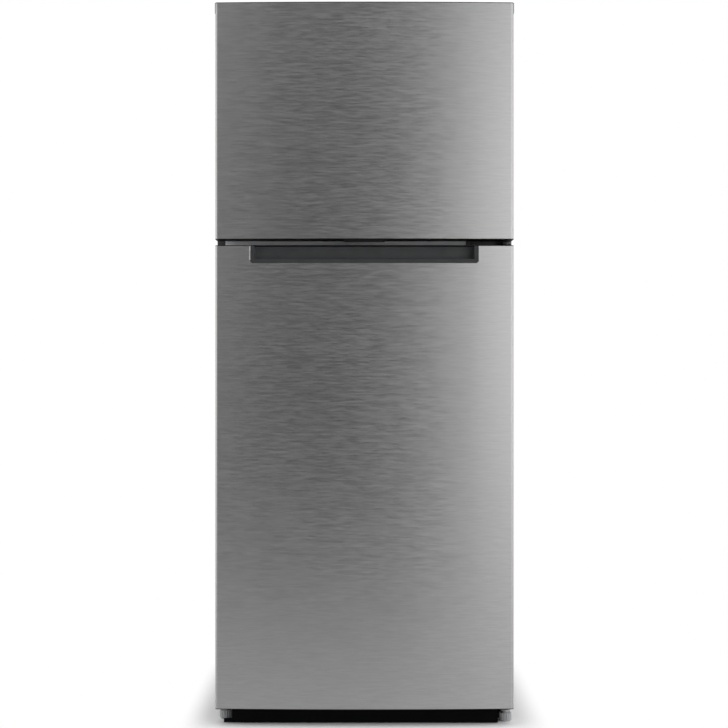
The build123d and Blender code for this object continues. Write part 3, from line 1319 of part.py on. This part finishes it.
NODES = {
    "cabinet_wrapper": cabinet_wrapper,
    "back_panel": back_panel,
    "bottom_panel": bottom_panel,
    "cabinet_foam": cabinet_foam,
    "freezer_liner": freezer_liner,
    "fridge_liner": fridge_liner,
    "front_rails": front_rails,
    "kick_plate": kick_plate,
    "wall_spacers": wall_spacers,
    "foot_bracket": foot_bracket,
    "front_foot_left": lambda: foot(FOOT_LEFT),
    "front_foot_right": lambda: foot(FOOT_RIGHT),
    "compressor_base": compressor_base,
    "roller_axles": roller_axles,
    "rear_roller_left": lambda: roller(-ROLLER_X),
    "rear_roller_right": lambda: roller(ROLLER_X),
    "compressor": compressor,
    "compressor_grommets": grommets,
    "evaporation_tray": evaporation_tray,
    "refrigerant_pipes": refrigerant_pipes,
    "compressor_cover": compressor_cover,
    "cord_inlet": cord_inlet,
    "top_hinge": top_hinge,
    "mid_hinge": mid_hinge,
    "bottom_hinge": bottom_hinge,
    "screws": screws,
    "hinge_cover": hinge_cover,
    "hinge_plugs": hinge_plugs,
    "freezer_door_skin": lambda: door_skin(FREEZER_DOOR),
    "freezer_door_foam": lambda: door_foam(FREEZER_DOOR),
    "freezer_door_liner": lambda: door_liner(FREEZER_DOOR),
    "freezer_door_top_cap": freezer_door_top_cap,
    "freezer_door_bottom_cap": freezer_door_bottom_cap,
    "freezer_door_gasket": lambda: door_gasket(FREEZER_DOOR),
    "freezer_door_bins": lambda: door_bins(FREEZER_DOOR),
    "freezer_door_bushes": freezer_door_bushes,
    "fridge_door_skin": fridge_door_skin,
    "fridge_door_foam": fridge_door_foam,
    "fridge_door_liner": lambda: door_liner(FRIDGE_DOOR),
    "fridge_door_top_cap": fridge_door_top_cap,
    "fridge_door_bottom_cap": lambda: door_cap(FRIDGE_DOOR, False),
    "fridge_handle_pocket": fridge_handle_pocket,
    "fridge_door_gasket": lambda: door_gasket(FRIDGE_DOOR),
    "fridge_door_bins": lambda: door_bins(FRIDGE_DOOR),
    "fridge_door_bushes": fridge_door_bushes,
    "shelf_panes": shelf_panes,
    "shelf_trims": shelf_trims,
    "evaporator_cover": evaporator_cover,
    "evaporator": evaporator,
    "fan_motor": fan_motor,
    "evaporator_fan": evaporator_fan,
    "freezer_dial": freezer_dial,
    "air_duct": air_duct,
    "control_box": control_box,
    "lamp_cover": lamp_cover,
    "thermostat_dial": thermostat_dial,
    "switch_housing": switch_housing,
    "switch_plunger": switch_plunger,
    "crisper_drawer_left": lambda: crisper_drawer(-1),
    "crisper_drawer_right": lambda: crisper_drawer(1),
}


def main():
    os.makedirs("parts", exist_ok=True)
    for name, make in NODES.items():
        export_step(make(), os.path.join("parts", name + ".step"))


if __name__ == "__main__":
    main()
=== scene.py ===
import json
import math

import bmesh
import bpy
from mathutils import Matrix, Vector


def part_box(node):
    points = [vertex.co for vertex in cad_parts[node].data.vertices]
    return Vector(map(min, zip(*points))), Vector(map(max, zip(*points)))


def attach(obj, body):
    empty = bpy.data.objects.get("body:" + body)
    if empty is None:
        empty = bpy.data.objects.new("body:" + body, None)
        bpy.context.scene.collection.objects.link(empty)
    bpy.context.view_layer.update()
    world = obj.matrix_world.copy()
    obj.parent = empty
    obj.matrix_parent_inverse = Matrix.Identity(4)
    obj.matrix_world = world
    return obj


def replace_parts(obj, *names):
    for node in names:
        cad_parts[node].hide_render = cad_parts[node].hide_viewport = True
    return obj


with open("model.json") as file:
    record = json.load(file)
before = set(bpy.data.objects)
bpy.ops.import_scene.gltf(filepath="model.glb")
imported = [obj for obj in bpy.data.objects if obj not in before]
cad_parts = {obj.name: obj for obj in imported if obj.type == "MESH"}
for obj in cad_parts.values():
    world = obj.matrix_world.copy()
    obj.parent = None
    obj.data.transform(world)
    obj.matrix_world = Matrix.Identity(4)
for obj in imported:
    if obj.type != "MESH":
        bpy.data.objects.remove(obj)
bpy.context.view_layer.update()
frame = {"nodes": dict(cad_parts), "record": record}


# Sizes, in metres unless the name ends in MM

# Outline of a door seal across its width: how far in from its outer edge, and how far from the door.
SEAL_MM = (
    (3, 0), (11, 0), (11, 1.4), (9, 2), (9, 3), (13.4, 3.8), (14, 4.6), (13.4, 5.4), (10.5, 5.8),
    (10.5, 6.4), (13.4, 6.8), (14, 7.6), (14, 10.8), (12.8, 12), (9.2, 12), (8.6, 11.4), (7.4, 11.4),
    (6.8, 12), (1.2, 12), (0, 10.8), (0, 7.4), (0.8, 6.6), (3.4, 6.2), (3.4, 5.6), (0.8, 5), (0.2, 4.2),
    (0.8, 3.4), (5, 2.8), (5, 2), (3, 1.4),
)

# Points or heights closer than this are the same.
WELD = 1e-6

# The pocket handle's rim turns into its trough between these depths behind its front; from there in, its
# paler colour is painted light.
POCKET_TURN = (0.008, 0.012)

# The skin's folded edges beside the pocket start above its rounded lower corners.
POCKET_CORNER = 0.007
FOLD_RADIUS = 0.0014
FOLD_OUT = 0.0008
FOLD_BACK = 0.0058
FOLD_ROUND = 0.00056
FOLD_SIDES = 24

# The edge of the freezer's finger grip: width, depth and height, and its place behind the cap's front.
GRIP_EDGE = (0.094, 0.008, 0.0042)
GRIP_EDGE_BACK = 0.008
GRIP_EDGE_LAP = 0.0005
GRIP_EDGE_ROUND = 0.0005

# The strokes printed round a dial.
MARKS = 9
LONG_MARK_EVERY = 4
SHORT_MARK_SHARE = 0.6
MARK_WIDTH = 0.0016
MARK_DEPTH = 0.0006
MARK_OUT = 0.0002
MARK_GAP = 0.0008

# The floor, and how far from the middle its shadow fades into white.
FLOOR_HALF = 9.0
FLOOR_FADE = (0.36, 0.44)

# Two dark cards in front of the doors, one standing and one lying on the floor.
CARD_TONE = 0.068
CARD_Y = -6.0
CARD_TOP = 5.5
CARD_NEAR = -2.1
CARD_LIFT = 0.002
STANDING_X = (-1.5, 1.2)
LYING_X = (-2.1, 0.6)

# The world's strength as light, and as the white that shows behind the object.
WORLD_LIGHT = 0.48
WORLD_SEEN = 1.0

CAMERA_PLACE = (-0.0011, -4.151, 0.8462)
CAMERA_LENS_MM = 80.42
CAMERA_SENSOR_MM = 36.0


# Shader nodes

# The middle of a pattern's values, where nearly all of a noise lies.
MIDDLE_RANGE = {"From Min": 0.3, "From Max": 0.7}


def colour(code):
    """An sRGB hex code as linear RGBA."""
    channels = [int(code[i : i + 2], 16) / 255 for i in (1, 3, 5)]
    return [c / 12.92 if c <= 0.04045 else ((c + 0.055) / 1.055) ** 2.4 for c in channels] + [1.0]


def add(tree, kind, inputs=None, **settings):
    """A shader node with its settings and its inputs, linked where a socket is given."""
    made = tree.nodes.new("ShaderNode" + kind)
    for key, value in settings.items():
        setattr(made, key, value)
    for key, value in (inputs or {}).items():
        if isinstance(value, bpy.types.NodeSocket):
            tree.links.new(value, made.inputs[key])
        else:
            made.inputs[key].default_value = value
    return made


def blank(name):
    """An empty material and its node tree."""
    mat = bpy.data.materials.new(name)
    mat.use_nodes = True
    mat.node_tree.nodes.clear()
    return mat, mat.node_tree


def surface(tree, inputs):
    """The finished surface of a material."""
    shader = add(tree, "BsdfPrincipled", inputs)
    add(tree, "OutputMaterial", {"Surface": shader.outputs[0]})


def of_size(tree, size_mm, **more):
    """Inputs of a pattern whose features have a real size, one for all ways or one each for X, Y and Z."""
    sizes = size_mm if isinstance(size_mm, tuple) else (size_mm,) * 3
    place = add(tree, "TexCoord").outputs["Object"]
    counted = add(tree, "Mapping", {"Vector": place, "Scale": [1000 / size for size in sizes]})
    return {"Vector": counted.outputs[0], "Scale": 1.0, **more}


def between(tree, pattern, low, high):
    """A pattern's middle range laid out between two values, or between two colours."""
    if isinstance(low, str):
        share = add(tree, "MapRange", {"Value": pattern, **MIDDLE_RANGE}).outputs[0]
        return add(tree, "Mix", {0: share, 6: colour(low), 7: colour(high)}, data_type="RGBA").outputs[2]
    limits = {**MIDDLE_RANGE, "To Min": low, "To Max": high}
    return add(tree, "MapRange", {"Value": pattern, **limits}).outputs[0]


def rounded(tree, edge_mm, height, depth_mm, strength):
    """Edges that catch light as if rounded, with a fine relief on top."""
    edge = add(tree, "Bevel", {"Radius": edge_mm / 1000}, samples=4).outputs[0]
    relief = {"Height": height, "Distance": depth_mm / 1000, "Strength": strength, "Normal": edge}
    return add(tree, "Bump", relief).outputs[0]


# Finishes


def brushed_stainless_steel():
    """Stainless sheet ground with a belt across its width.

    Fine level lines draw a highlight out up and down. Real scratches are finer than a pixel, so these are
    drawn as coarse as they need to show.
    """
    mat, tree = blank("brushed_stainless_steel")
    lines = add(tree, "TexNoise", of_size(tree, (33, 42, 2.6), Detail=3.0, Roughness=0.6)).outputs[0]
    surface(
        tree,
        {
            "Base Color": between(tree, lines, "#919191", "#9a9a9a"),
            "Metallic": 1.0,
            "Roughness": between(tree, lines, 0.32, 0.412),
            "Anisotropic": 0.45,
            "Anisotropic Rotation": 0.25,
            "Tangent": add(tree, "Tangent", direction_type="RADIAL", axis="Z").outputs[0],
            "Normal": add(tree, "Bump", {"Height": lines, "Distance": 0.00003, "Strength": 0.5}).outputs[0],
        },
    )
    return mat


def moulded(name, dark, light, rough, grain_mm=0.9, depth_mm=0.05, patch_mm=40, gloss=0.5):
    """Moulded plastic or rubber: the tool's fine grain breaks up the gloss, and the tone varies a little."""
    mat, tree = blank(name)
    patches = add(tree, "TexNoise", of_size(tree, patch_mm, Detail=3.0)).outputs[0]
    grain = add(tree, "TexNoise", of_size(tree, grain_mm, Detail=2.0)).outputs[0]
    surface(
        tree,
        {
            "Base Color": between(tree, patches, dark, light),
            "Roughness": between(tree, grain, rough - 0.05, rough + 0.06),
            "Specular IOR Level": gloss,
            "Normal": rounded(tree, 0.5, grain, depth_mm, 0.5),
        },
    )
    return mat


def pocket_abs():
    """Moulded ABS of the pocket handle: the rim is dark, and the grained trough is matt; the trough's paler
    colour is painted light that lifts the shade deep in the recess.
    """
    mat, tree = blank("grey_abs_with_painted_light")
    patches = add(tree, "TexNoise", of_size(tree, 40, Detail=3.0)).outputs[0]
    grain = add(tree, "TexNoise", of_size(tree, 0.9, Detail=2.0)).outputs[0]
    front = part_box("fridge_handle_pocket")[0].y
    turn = {"From Min": front + POCKET_TURN[0], "From Max": front + POCKET_TURN[1]}
    place = add(tree, "TexCoord").outputs["Object"]
    depth = add(tree, "SeparateXYZ", {0: place}).outputs["Y"]
    painted_light_share = add(tree, "MapRange", {"Value": depth, **turn}).outputs[0]
    rim = between(tree, patches, "#333435", "#393a3b")
    # Painted light: the trough is coloured paler than the rim to lift the shade that falls inside the recess.
    trough_painted_light = between(tree, patches, "#4d4e4f", "#555657")
    surface(
        tree,
        {
            "Base Color": add(tree, "Mix", {0: painted_light_share, 6: rim, 7: trough_painted_light}, data_type="RGBA").outputs[2],
            "Roughness": between(tree, grain, 0.5, 0.61),
            "Specular IOR Level": 0.03,
            "Normal": rounded(tree, 0.5, grain, 0.05, 0.5),
        },
    )
    return mat


def sprayed(name, dark, light, rough, peel_mm=3.0):
    """Enamel or powder coat on sheet steel: an even tone whose gloss shows the spray's orange peel."""
    mat, tree = blank(name)
    patches = add(tree, "TexNoise", of_size(tree, 90, Detail=3.0)).outputs[0]
    peel = add(tree, "TexNoise", of_size(tree, peel_mm, Detail=1.0)).outputs[0]
    surface(
        tree,
        {
            "Base Color": between(tree, patches, dark, light),
            "Roughness": between(tree, peel, rough - 0.04, rough + 0.05),
            "Normal": rounded(tree, 0.4, peel, 0.03, 0.4),
        },
    )
    return mat


def galvanised_steel():
    """Hot-dip zinc on sheet: soft grey crystals, each with a slightly different gloss."""
    mat, tree = blank("galvanised_steel")
    spangle = add(tree, "TexVoronoi", of_size(tree, 9)).outputs
    shade = add(tree, "SeparateColor", {0: spangle["Color"]}).outputs[0]
    fine = add(tree, "TexNoise", of_size(tree, 2)).outputs[0]
    surface(
        tree,
        {
            "Base Color": between(tree, shade, "#a2a5a7", "#aeb1b3"),
            "Metallic": 0.85,
            "Roughness": between(tree, shade, 0.42, 0.5),
            "Normal": rounded(tree, 0.4, fine, 0.03, 0.3),
        },
    )
    return mat


def polyurethane_foam():
    """Foam blown rigid between the sheets: straw yellow, matt, with cells drawn coarser so that they show."""
    mat, tree = blank("polyurethane_foam")
    pores = add(tree, "TexVoronoi", of_size(tree, 1.5)).outputs["Distance"]
    patches = add(tree, "TexNoise", of_size(tree, 25)).outputs[0]
    surface(
        tree,
        {
            "Base Color": between(tree, patches, "#d9c48c", "#e8d8a8"),
            "Roughness": 0.9,
            "Normal": add(tree, "Bump", {"Height": pores, "Distance": 0.0004, "Strength": 0.7}).outputs[0],
        },
    )
    return mat


def drawn_metal(name, dark, light, rough, line_mm=3):
    """Bare or plated metal with the faint lines of drawing or rolling, drawn coarser so that they show."""
    mat, tree = blank(name)
    lines = add(tree, "TexNoise", of_size(tree, line_mm)).outputs[0]
    surface(
        tree,
        {
            "Base Color": between(tree, lines, dark, light),
            "Metallic": 1.0,
            "Roughness": between(tree, lines, rough - 0.06, rough + 0.08),
            "Normal": rounded(tree, 0.3, lines, 0.02, 0.4),
        },
    )
    return mat


def clear(name, dark, light, rough, ior, through):
    """Float glass or clear moulded plastic with a faint haze."""
    mat, tree = blank(name)
    haze = add(tree, "TexNoise", of_size(tree, 30, Detail=3.0)).outputs[0]
    surface(
        tree,
        {
            "Base Color": between(tree, haze, dark, light),
            "Roughness": between(tree, haze, rough, rough + 0.04),
            "IOR": ior,
            "Transmission Weight": through,
        },
    )
    return mat


LOOKS = {
    "steel_door": brushed_stainless_steel(),
    # Polyester powder coat on the wrapper: dark grey, half gloss.
    "cabinet_paint": sprayed("grey_powder_coat", "#3b3b3d", "#404042", 0.42),
    # Pre-painted steel of the rails across the front: pale, with a soft shine.
    "rail_paint": sprayed("pale_rail_enamel", "#d8d9db", "#dedfe1", 0.4),
    "galvanised": galvanised_steel(),
    # Electrocoat on pressed steel: black and thin, so the sheet's own waviness shows.
    "hinge_black": sprayed("black_electrocoat", "#131314", "#1b1b1c", 0.4, peel_mm=1.5),
    # Bright zinc on small steel parts: a cool, fairly sharp shine.
    "zinc_steel": drawn_metal("zinc_plated_steel", "#a9abad", "#c4c6c8", 0.28),
    "foam": polyurethane_foam(),
    # High-impact polystyrene, vacuum formed: smooth and softly glossy.
    "liner_white": moulded(
        "white_polystyrene", "#e0e2e3", "#e6e7e8", 0.3, grain_mm=1.5, depth_mm=0.02, patch_mm=160
    ),
    # ABS trims, glossier than the liner.
    "trim_white": moulded("white_abs", "#d9dbdd", "#e1e3e4", 0.28, grain_mm=0.8, depth_mm=0.02),
    # Glass-filled ABS caps: nearly black and matt.
    "cap_black": moulded("black_abs", "#0a0a0b", "#0f0f10", 0.5, gloss=0.12),
    "pocket_grey": pocket_abs(),
    # Polypropylene with carbon black: matt, soaks up light. Its near-black tone is partly painted shade: on
    # the plate below the doors it stands in for the shade under the fridge.
    "plastic_black": moulded("black_polypropylene_and_painted_shade", "#040405", "#070708", 0.6, gloss=0.04),
    # Nylon feet: mid grey with a dull, waxy shine.
    "foot_grey": moulded("grey_nylon", "#98999b", "#a5a6a8", 0.45),
    # Nylon dyed dark, a little shinier.
    "roller_plastic": moulded("dark_nylon", "#2b2b2d", "#363638", 0.4),
    # Soft extruded PVC: grey and dull.
    "gasket_rubber": moulded("grey_soft_vinyl", "#6f7073", "#7a7b7e", 0.55, grain_mm=0.6),
    # Vulcanised rubber: black, hardly shiny.
    "grommet_rubber": moulded("black_rubber", "#1a1a1a", "#222222", 0.7, grain_mm=0.5),
    # Baked enamel over a welded shell: black and glossy.
    "compressor_black": sprayed("black_gloss_enamel", "#0c0c0d", "#141415", 0.22, peel_mm=6.0),
    # Copper tube: warm, half bright.
    "copper": drawn_metal("drawn_copper", "#a8623f", "#c27a52", 0.3, line_mm=(2, 12, 12)),
    # Aluminium fin sheet: pale, with upright lines.
    "coil_aluminium": drawn_metal("rolled_aluminium", "#b4b6b8", "#cccecf", 0.35, line_mm=(2, 2, 20)),
    # Shelf glass: clear with a trace of green.
    "glass": clear("float_glass", "#e6f1ed", "#eef6f3", rough=0.01, ior=1.52, through=1.0),
    # Bins and drawers: clear with a trace of blue.
    "clear_plastic": clear("clear_polystyrene", "#f7fafb", "#fbfdfd", rough=0.03, ior=1.45, through=0.97),
    # Frosted lens over the lamp: milky.
    "lens_plastic": clear("frosted_polycarbonate", "#eeeee8", "#f7f7f2", rough=0.3, ior=1.45, through=0.6),
}

for part in frame["record"]["subparts"]:
    shown = frame["nodes"][part["node"]]
    shown.data.materials.clear()
    shown.data.materials.append(LOOKS[part["material_slot"]])


# Pieces


def piece(name, bm, body, slot):
    """Makes a mesh into a piece of the object, with the finish of a slot."""
    mesh = bpy.data.meshes.new(name)
    bm.to_mesh(mesh)
    bm.free()
    mesh.materials.append(LOOKS[slot])
    made = bpy.data.objects.new(name, mesh)
    bpy.context.scene.collection.objects.link(made)
    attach(made, body)
    return made


def round_over(bm, edges, radius):
    """Rounds edges of a mesh."""
    bmesh.ops.bevel(
        bm,
        geom=edges,
        offset=radius,
        affect="EDGES",
        segments=2,
        profile=0.5,
        material=-1,
        clamp_overlap=True,
    )


def seal(door):
    """A magnetic door seal with welded corners: a foot in the door, two folds of bellows and a bulb."""
    node = door + "_gasket"
    low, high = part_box(node)
    middle = Matrix.Translation((0, 0, -(low.z + high.z) / 2))
    bm = bmesh.new()
    outline = [bm.verts.new((high.x - i / 1000, low.y + d / 1000, high.z - i / 1000)) for i, d in SEAL_MM]
    ring = [bm.edges.new((outline[i - 1], outline[i])) for i in range(len(outline))]
    # The outline lies across one corner. Each side is drawn out to the next corner by a flip.
    for flip in ((-1, 1, 1), (1, 1, -1)) * 2:
        grown = bmesh.ops.extrude_edge_only(bm, edges=ring)["geom"]
        ends = [g for g in grown if isinstance(g, bmesh.types.BMVert)]
        ring = [g for g in grown if isinstance(g, bmesh.types.BMEdge)]
        bmesh.ops.scale(bm, vec=flip, space=middle, verts=ends)
    bmesh.ops.remove_doubles(bm, verts=bm.verts, dist=WELD)
    bmesh.ops.recalc_face_normals(bm, faces=bm.faces)
    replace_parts(piece(door + "_seal", bm, door, "gasket_rubber"), node)


def pocket_edges():
    """The skin's two folded edges beside the pocket handle."""
    low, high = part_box("fridge_handle_pocket")
    bottom = low.z + POCKET_CORNER
    bm = bmesh.new()
    for side in (-1, 1):
        bar = bmesh.ops.create_cone(
            bm,
            cap_ends=True,
            segments=FOLD_SIDES,
            radius1=FOLD_RADIUS,
            radius2=FOLD_RADIUS,
            depth=high.z - bottom,
        )["verts"]
        at = (side * (high.x + FOLD_OUT), low.y + FOLD_BACK, (bottom + high.z) / 2)
        bmesh.ops.translate(bm, vec=at, verts=bar)
    level = [e for e in bm.edges if abs(e.verts[0].co.z - e.verts[1].co.z) < WELD]
    round_over(bm, level, FOLD_ROUND)
    piece("pocket_edges", bm, "fridge_door", "steel_door")


def grip_edge():
    """The rounded edge of the freezer's finger grip, which carries the cap's short lip further down."""
    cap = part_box("freezer_door_bottom_cap")[0]
    bm = bmesh.new()
    bar = bmesh.ops.create_cube(bm, size=1.0)["verts"]
    bmesh.ops.scale(bm, vec=GRIP_EDGE, verts=bar)
    at = (0, cap.y + GRIP_EDGE_BACK, cap.z + GRIP_EDGE_LAP - GRIP_EDGE[2] / 2)
    bmesh.ops.translate(bm, vec=at, verts=bar)
    round_over(bm, bm.edges[:], GRIP_EDGE_ROUND)
    piece("freezer_grip_edge", bm, "freezer_door", "cap_black")


def dial_marks(dial, face, turn, length):
    """The scale printed round a dial: strokes over the angle that it turns each way, some of them long."""
    low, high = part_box(dial)
    centre = (low + high) / 2
    inner = (high.x - low.x) / 2 + MARK_GAP
    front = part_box(face)[0].y
    bm = bmesh.new()
    for index in range(MARKS):
        size = length if index % LONG_MARK_EVERY == 0 else length * SHORT_MARK_SHARE
        angle = turn * (2 * index / (MARKS - 1) - 1)
        stroke = bmesh.ops.create_cube(bm, size=1.0)["verts"]
        bmesh.ops.scale(bm, vec=(MARK_WIDTH, MARK_DEPTH, size), verts=stroke)
        bmesh.ops.translate(bm, vec=(0, 0, inner + size / 2), verts=stroke)
        bmesh.ops.rotate(bm, matrix=Matrix.Rotation(math.radians(angle), 3, "Y"), verts=stroke)
        bmesh.ops.translate(bm, vec=(centre.x, front - MARK_OUT, centre.z), verts=stroke)
    piece(dial + "_marks", bm, "cabinet", "roller_plastic")


seal("freezer_door")
seal("fridge_door")
pocket_edges()
grip_edge()
dial_marks("freezer_dial", "evaporator_cover", turn=60, length=0.007)
dial_marks("thermostat_dial", "control_box", turn=135, length=0.002)


# Studio


def stage_sheet(name, x, y, z, mat):
    """A flat sheet of the studio between two corners, level or standing."""
    corners = [(x[0], y[0], z[0]), (x[1], y[0], z[0]), (x[1], y[1], z[1]), (x[0], y[1], z[1])]
    bm = bmesh.new()
    bm.faces.new([bm.verts.new(corner) for corner in corners])
    mesh = bpy.data.meshes.new(name)
    bm.to_mesh(mesh)
    bm.free()
    mesh.materials.append(mat)
    made = bpy.data.objects.new(name, mesh)
    bpy.context.scene.collection.objects.link(made)
    return made


def seen_rays(tree):
    """1 for rays that show a thing: straight to the camera, in metal or through glass."""
    path = add(tree, "LightPath").outputs
    bare = {0: path["Is Camera Ray"], 1: path["Is Glossy Ray"]}
    shown = add(tree, "Math", bare, operation="MAXIMUM").outputs[0]
    return add(tree, "Math", {0: shown, 1: path["Is Transmission Ray"]}, operation="MAXIMUM").outputs[0]


def pale_floor():
    """A pale floor that keeps the shadow at the feet and is white further out."""
    mat, tree = blank("pale_floor")
    patches = add(tree, "TexNoise", of_size(tree, 300)).outputs[0]
    lit = add(tree, "BsdfDiffuse", {"Color": between(tree, patches, "#f0f0f0", "#f4f4f4")})
    white = add(tree, "Emission", {"Color": (1, 1, 1, 1), "Strength": 1.0})
    place = add(tree, "TexCoord").outputs["Object"]
    size = add(tree, "VectorMath", {0: place}, operation="ABSOLUTE").outputs[0]
    sides = add(tree, "SeparateXYZ", {0: size}).outputs
    away = add(tree, "Math", {0: sides["X"], 1: sides["Y"]}, operation="MAXIMUM").outputs[0]
    limits = {"From Min": FLOOR_FADE[0], "From Max": FLOOR_FADE[1]}
    fade = add(tree, "MapRange", {"Value": away, **limits}, interpolation_type="SMOOTHSTEP").outputs[0]
    share = add(tree, "Math", {0: fade, 1: seen_rays(tree)}, operation="MULTIPLY").outputs[0]
    both = add(tree, "MixShader", {0: share, 1: lit.outputs[0], 2: white.outputs[0]})
    add(tree, "OutputMaterial", {"Surface": both.outputs[0]})
    return mat


def dark_card():
    """Card that dims what the steel reflects."""
    mat, tree = blank("dark_card")
    glow = add(tree, "Emission", {"Color": (1, 1, 1, 1), "Strength": CARD_TONE})
    add(tree, "OutputMaterial", {"Surface": glow.outputs[0]})
    return mat


def lamp(name, place, target, size, power):
    """A rectangular soft light aimed at a point."""
    data = bpy.data.lights.new(name, "AREA")
    data.shape = "RECTANGLE"
    data.size, data.size_y = size
    data.energy = power
    made = bpy.data.objects.new(name, data)
    bpy.context.scene.collection.objects.link(made)
    made.location = place
    made.rotation_euler = (Vector(target) - Vector(place)).to_track_quat("-Z", "Y").to_euler()


def white_world():
    """Soft light from all round, and plain white wherever it is seen."""
    world = bpy.data.worlds.new("studio")
    world.use_nodes = True
    tree = world.node_tree
    tree.nodes.clear()
    around = add(tree, "Background", {"Color": (1, 1, 1, 1), "Strength": WORLD_LIGHT})
    seen = add(tree, "Background", {"Color": (1, 1, 1, 1), "Strength": WORLD_SEEN})
    both = add(tree, "MixShader", {0: seen_rays(tree), 1: around.outputs[0], 2: seen.outputs[0]})
    add(tree, "OutputWorld", {"Surface": both.outputs[0]})
    return world


def level_camera():
    """A long lens straight in front of the doors."""
    data = bpy.data.cameras.new("camera")
    data.lens = CAMERA_LENS_MM
    data.sensor_width = CAMERA_SENSOR_MM
    made = bpy.data.objects.new("camera", data)
    bpy.context.scene.collection.objects.link(made)
    made.location = CAMERA_PLACE
    made.rotation_euler = (math.radians(90), 0, 0)
    return made


stage_sheet("floor", (-FLOOR_HALF, FLOOR_HALF), (-FLOOR_HALF, FLOOR_HALF), (0, 0), pale_floor())

card_look = dark_card()
cards = (
    stage_sheet("standing_card", STANDING_X, (CARD_Y, CARD_Y), (CARD_TOP, 0), card_look),
    stage_sheet("lying_card", LYING_X, (CARD_Y, CARD_NEAR), (CARD_LIFT, CARD_LIFT), card_look),
)
for card in cards:
    card.visible_camera = False
    card.visible_diffuse = False
    card.visible_shadow = False

lamp("ceiling_light", place=(0, -0.6, 4.2), target=(0, -0.6, 0), size=(6.0, 6.0), power=95)
lamp("right_softbox", place=(1.62, -3.19, 1.32), target=(0, -0.3, 1.1), size=(1.82, 2.7), power=35.5)
for name, side in (("left_strip", -1), ("right_strip", 1)):
    lamp(name, place=(side * 3.0, -0.6, 0.9), target=(side * 0.35, -0.2, 0.9), size=(2.5, 3.4), power=44)

bpy.context.scene.world = white_world()
bpy.context.scene.camera = level_camera()
bpy.context.scene.view_settings.view_transform = "Standard"
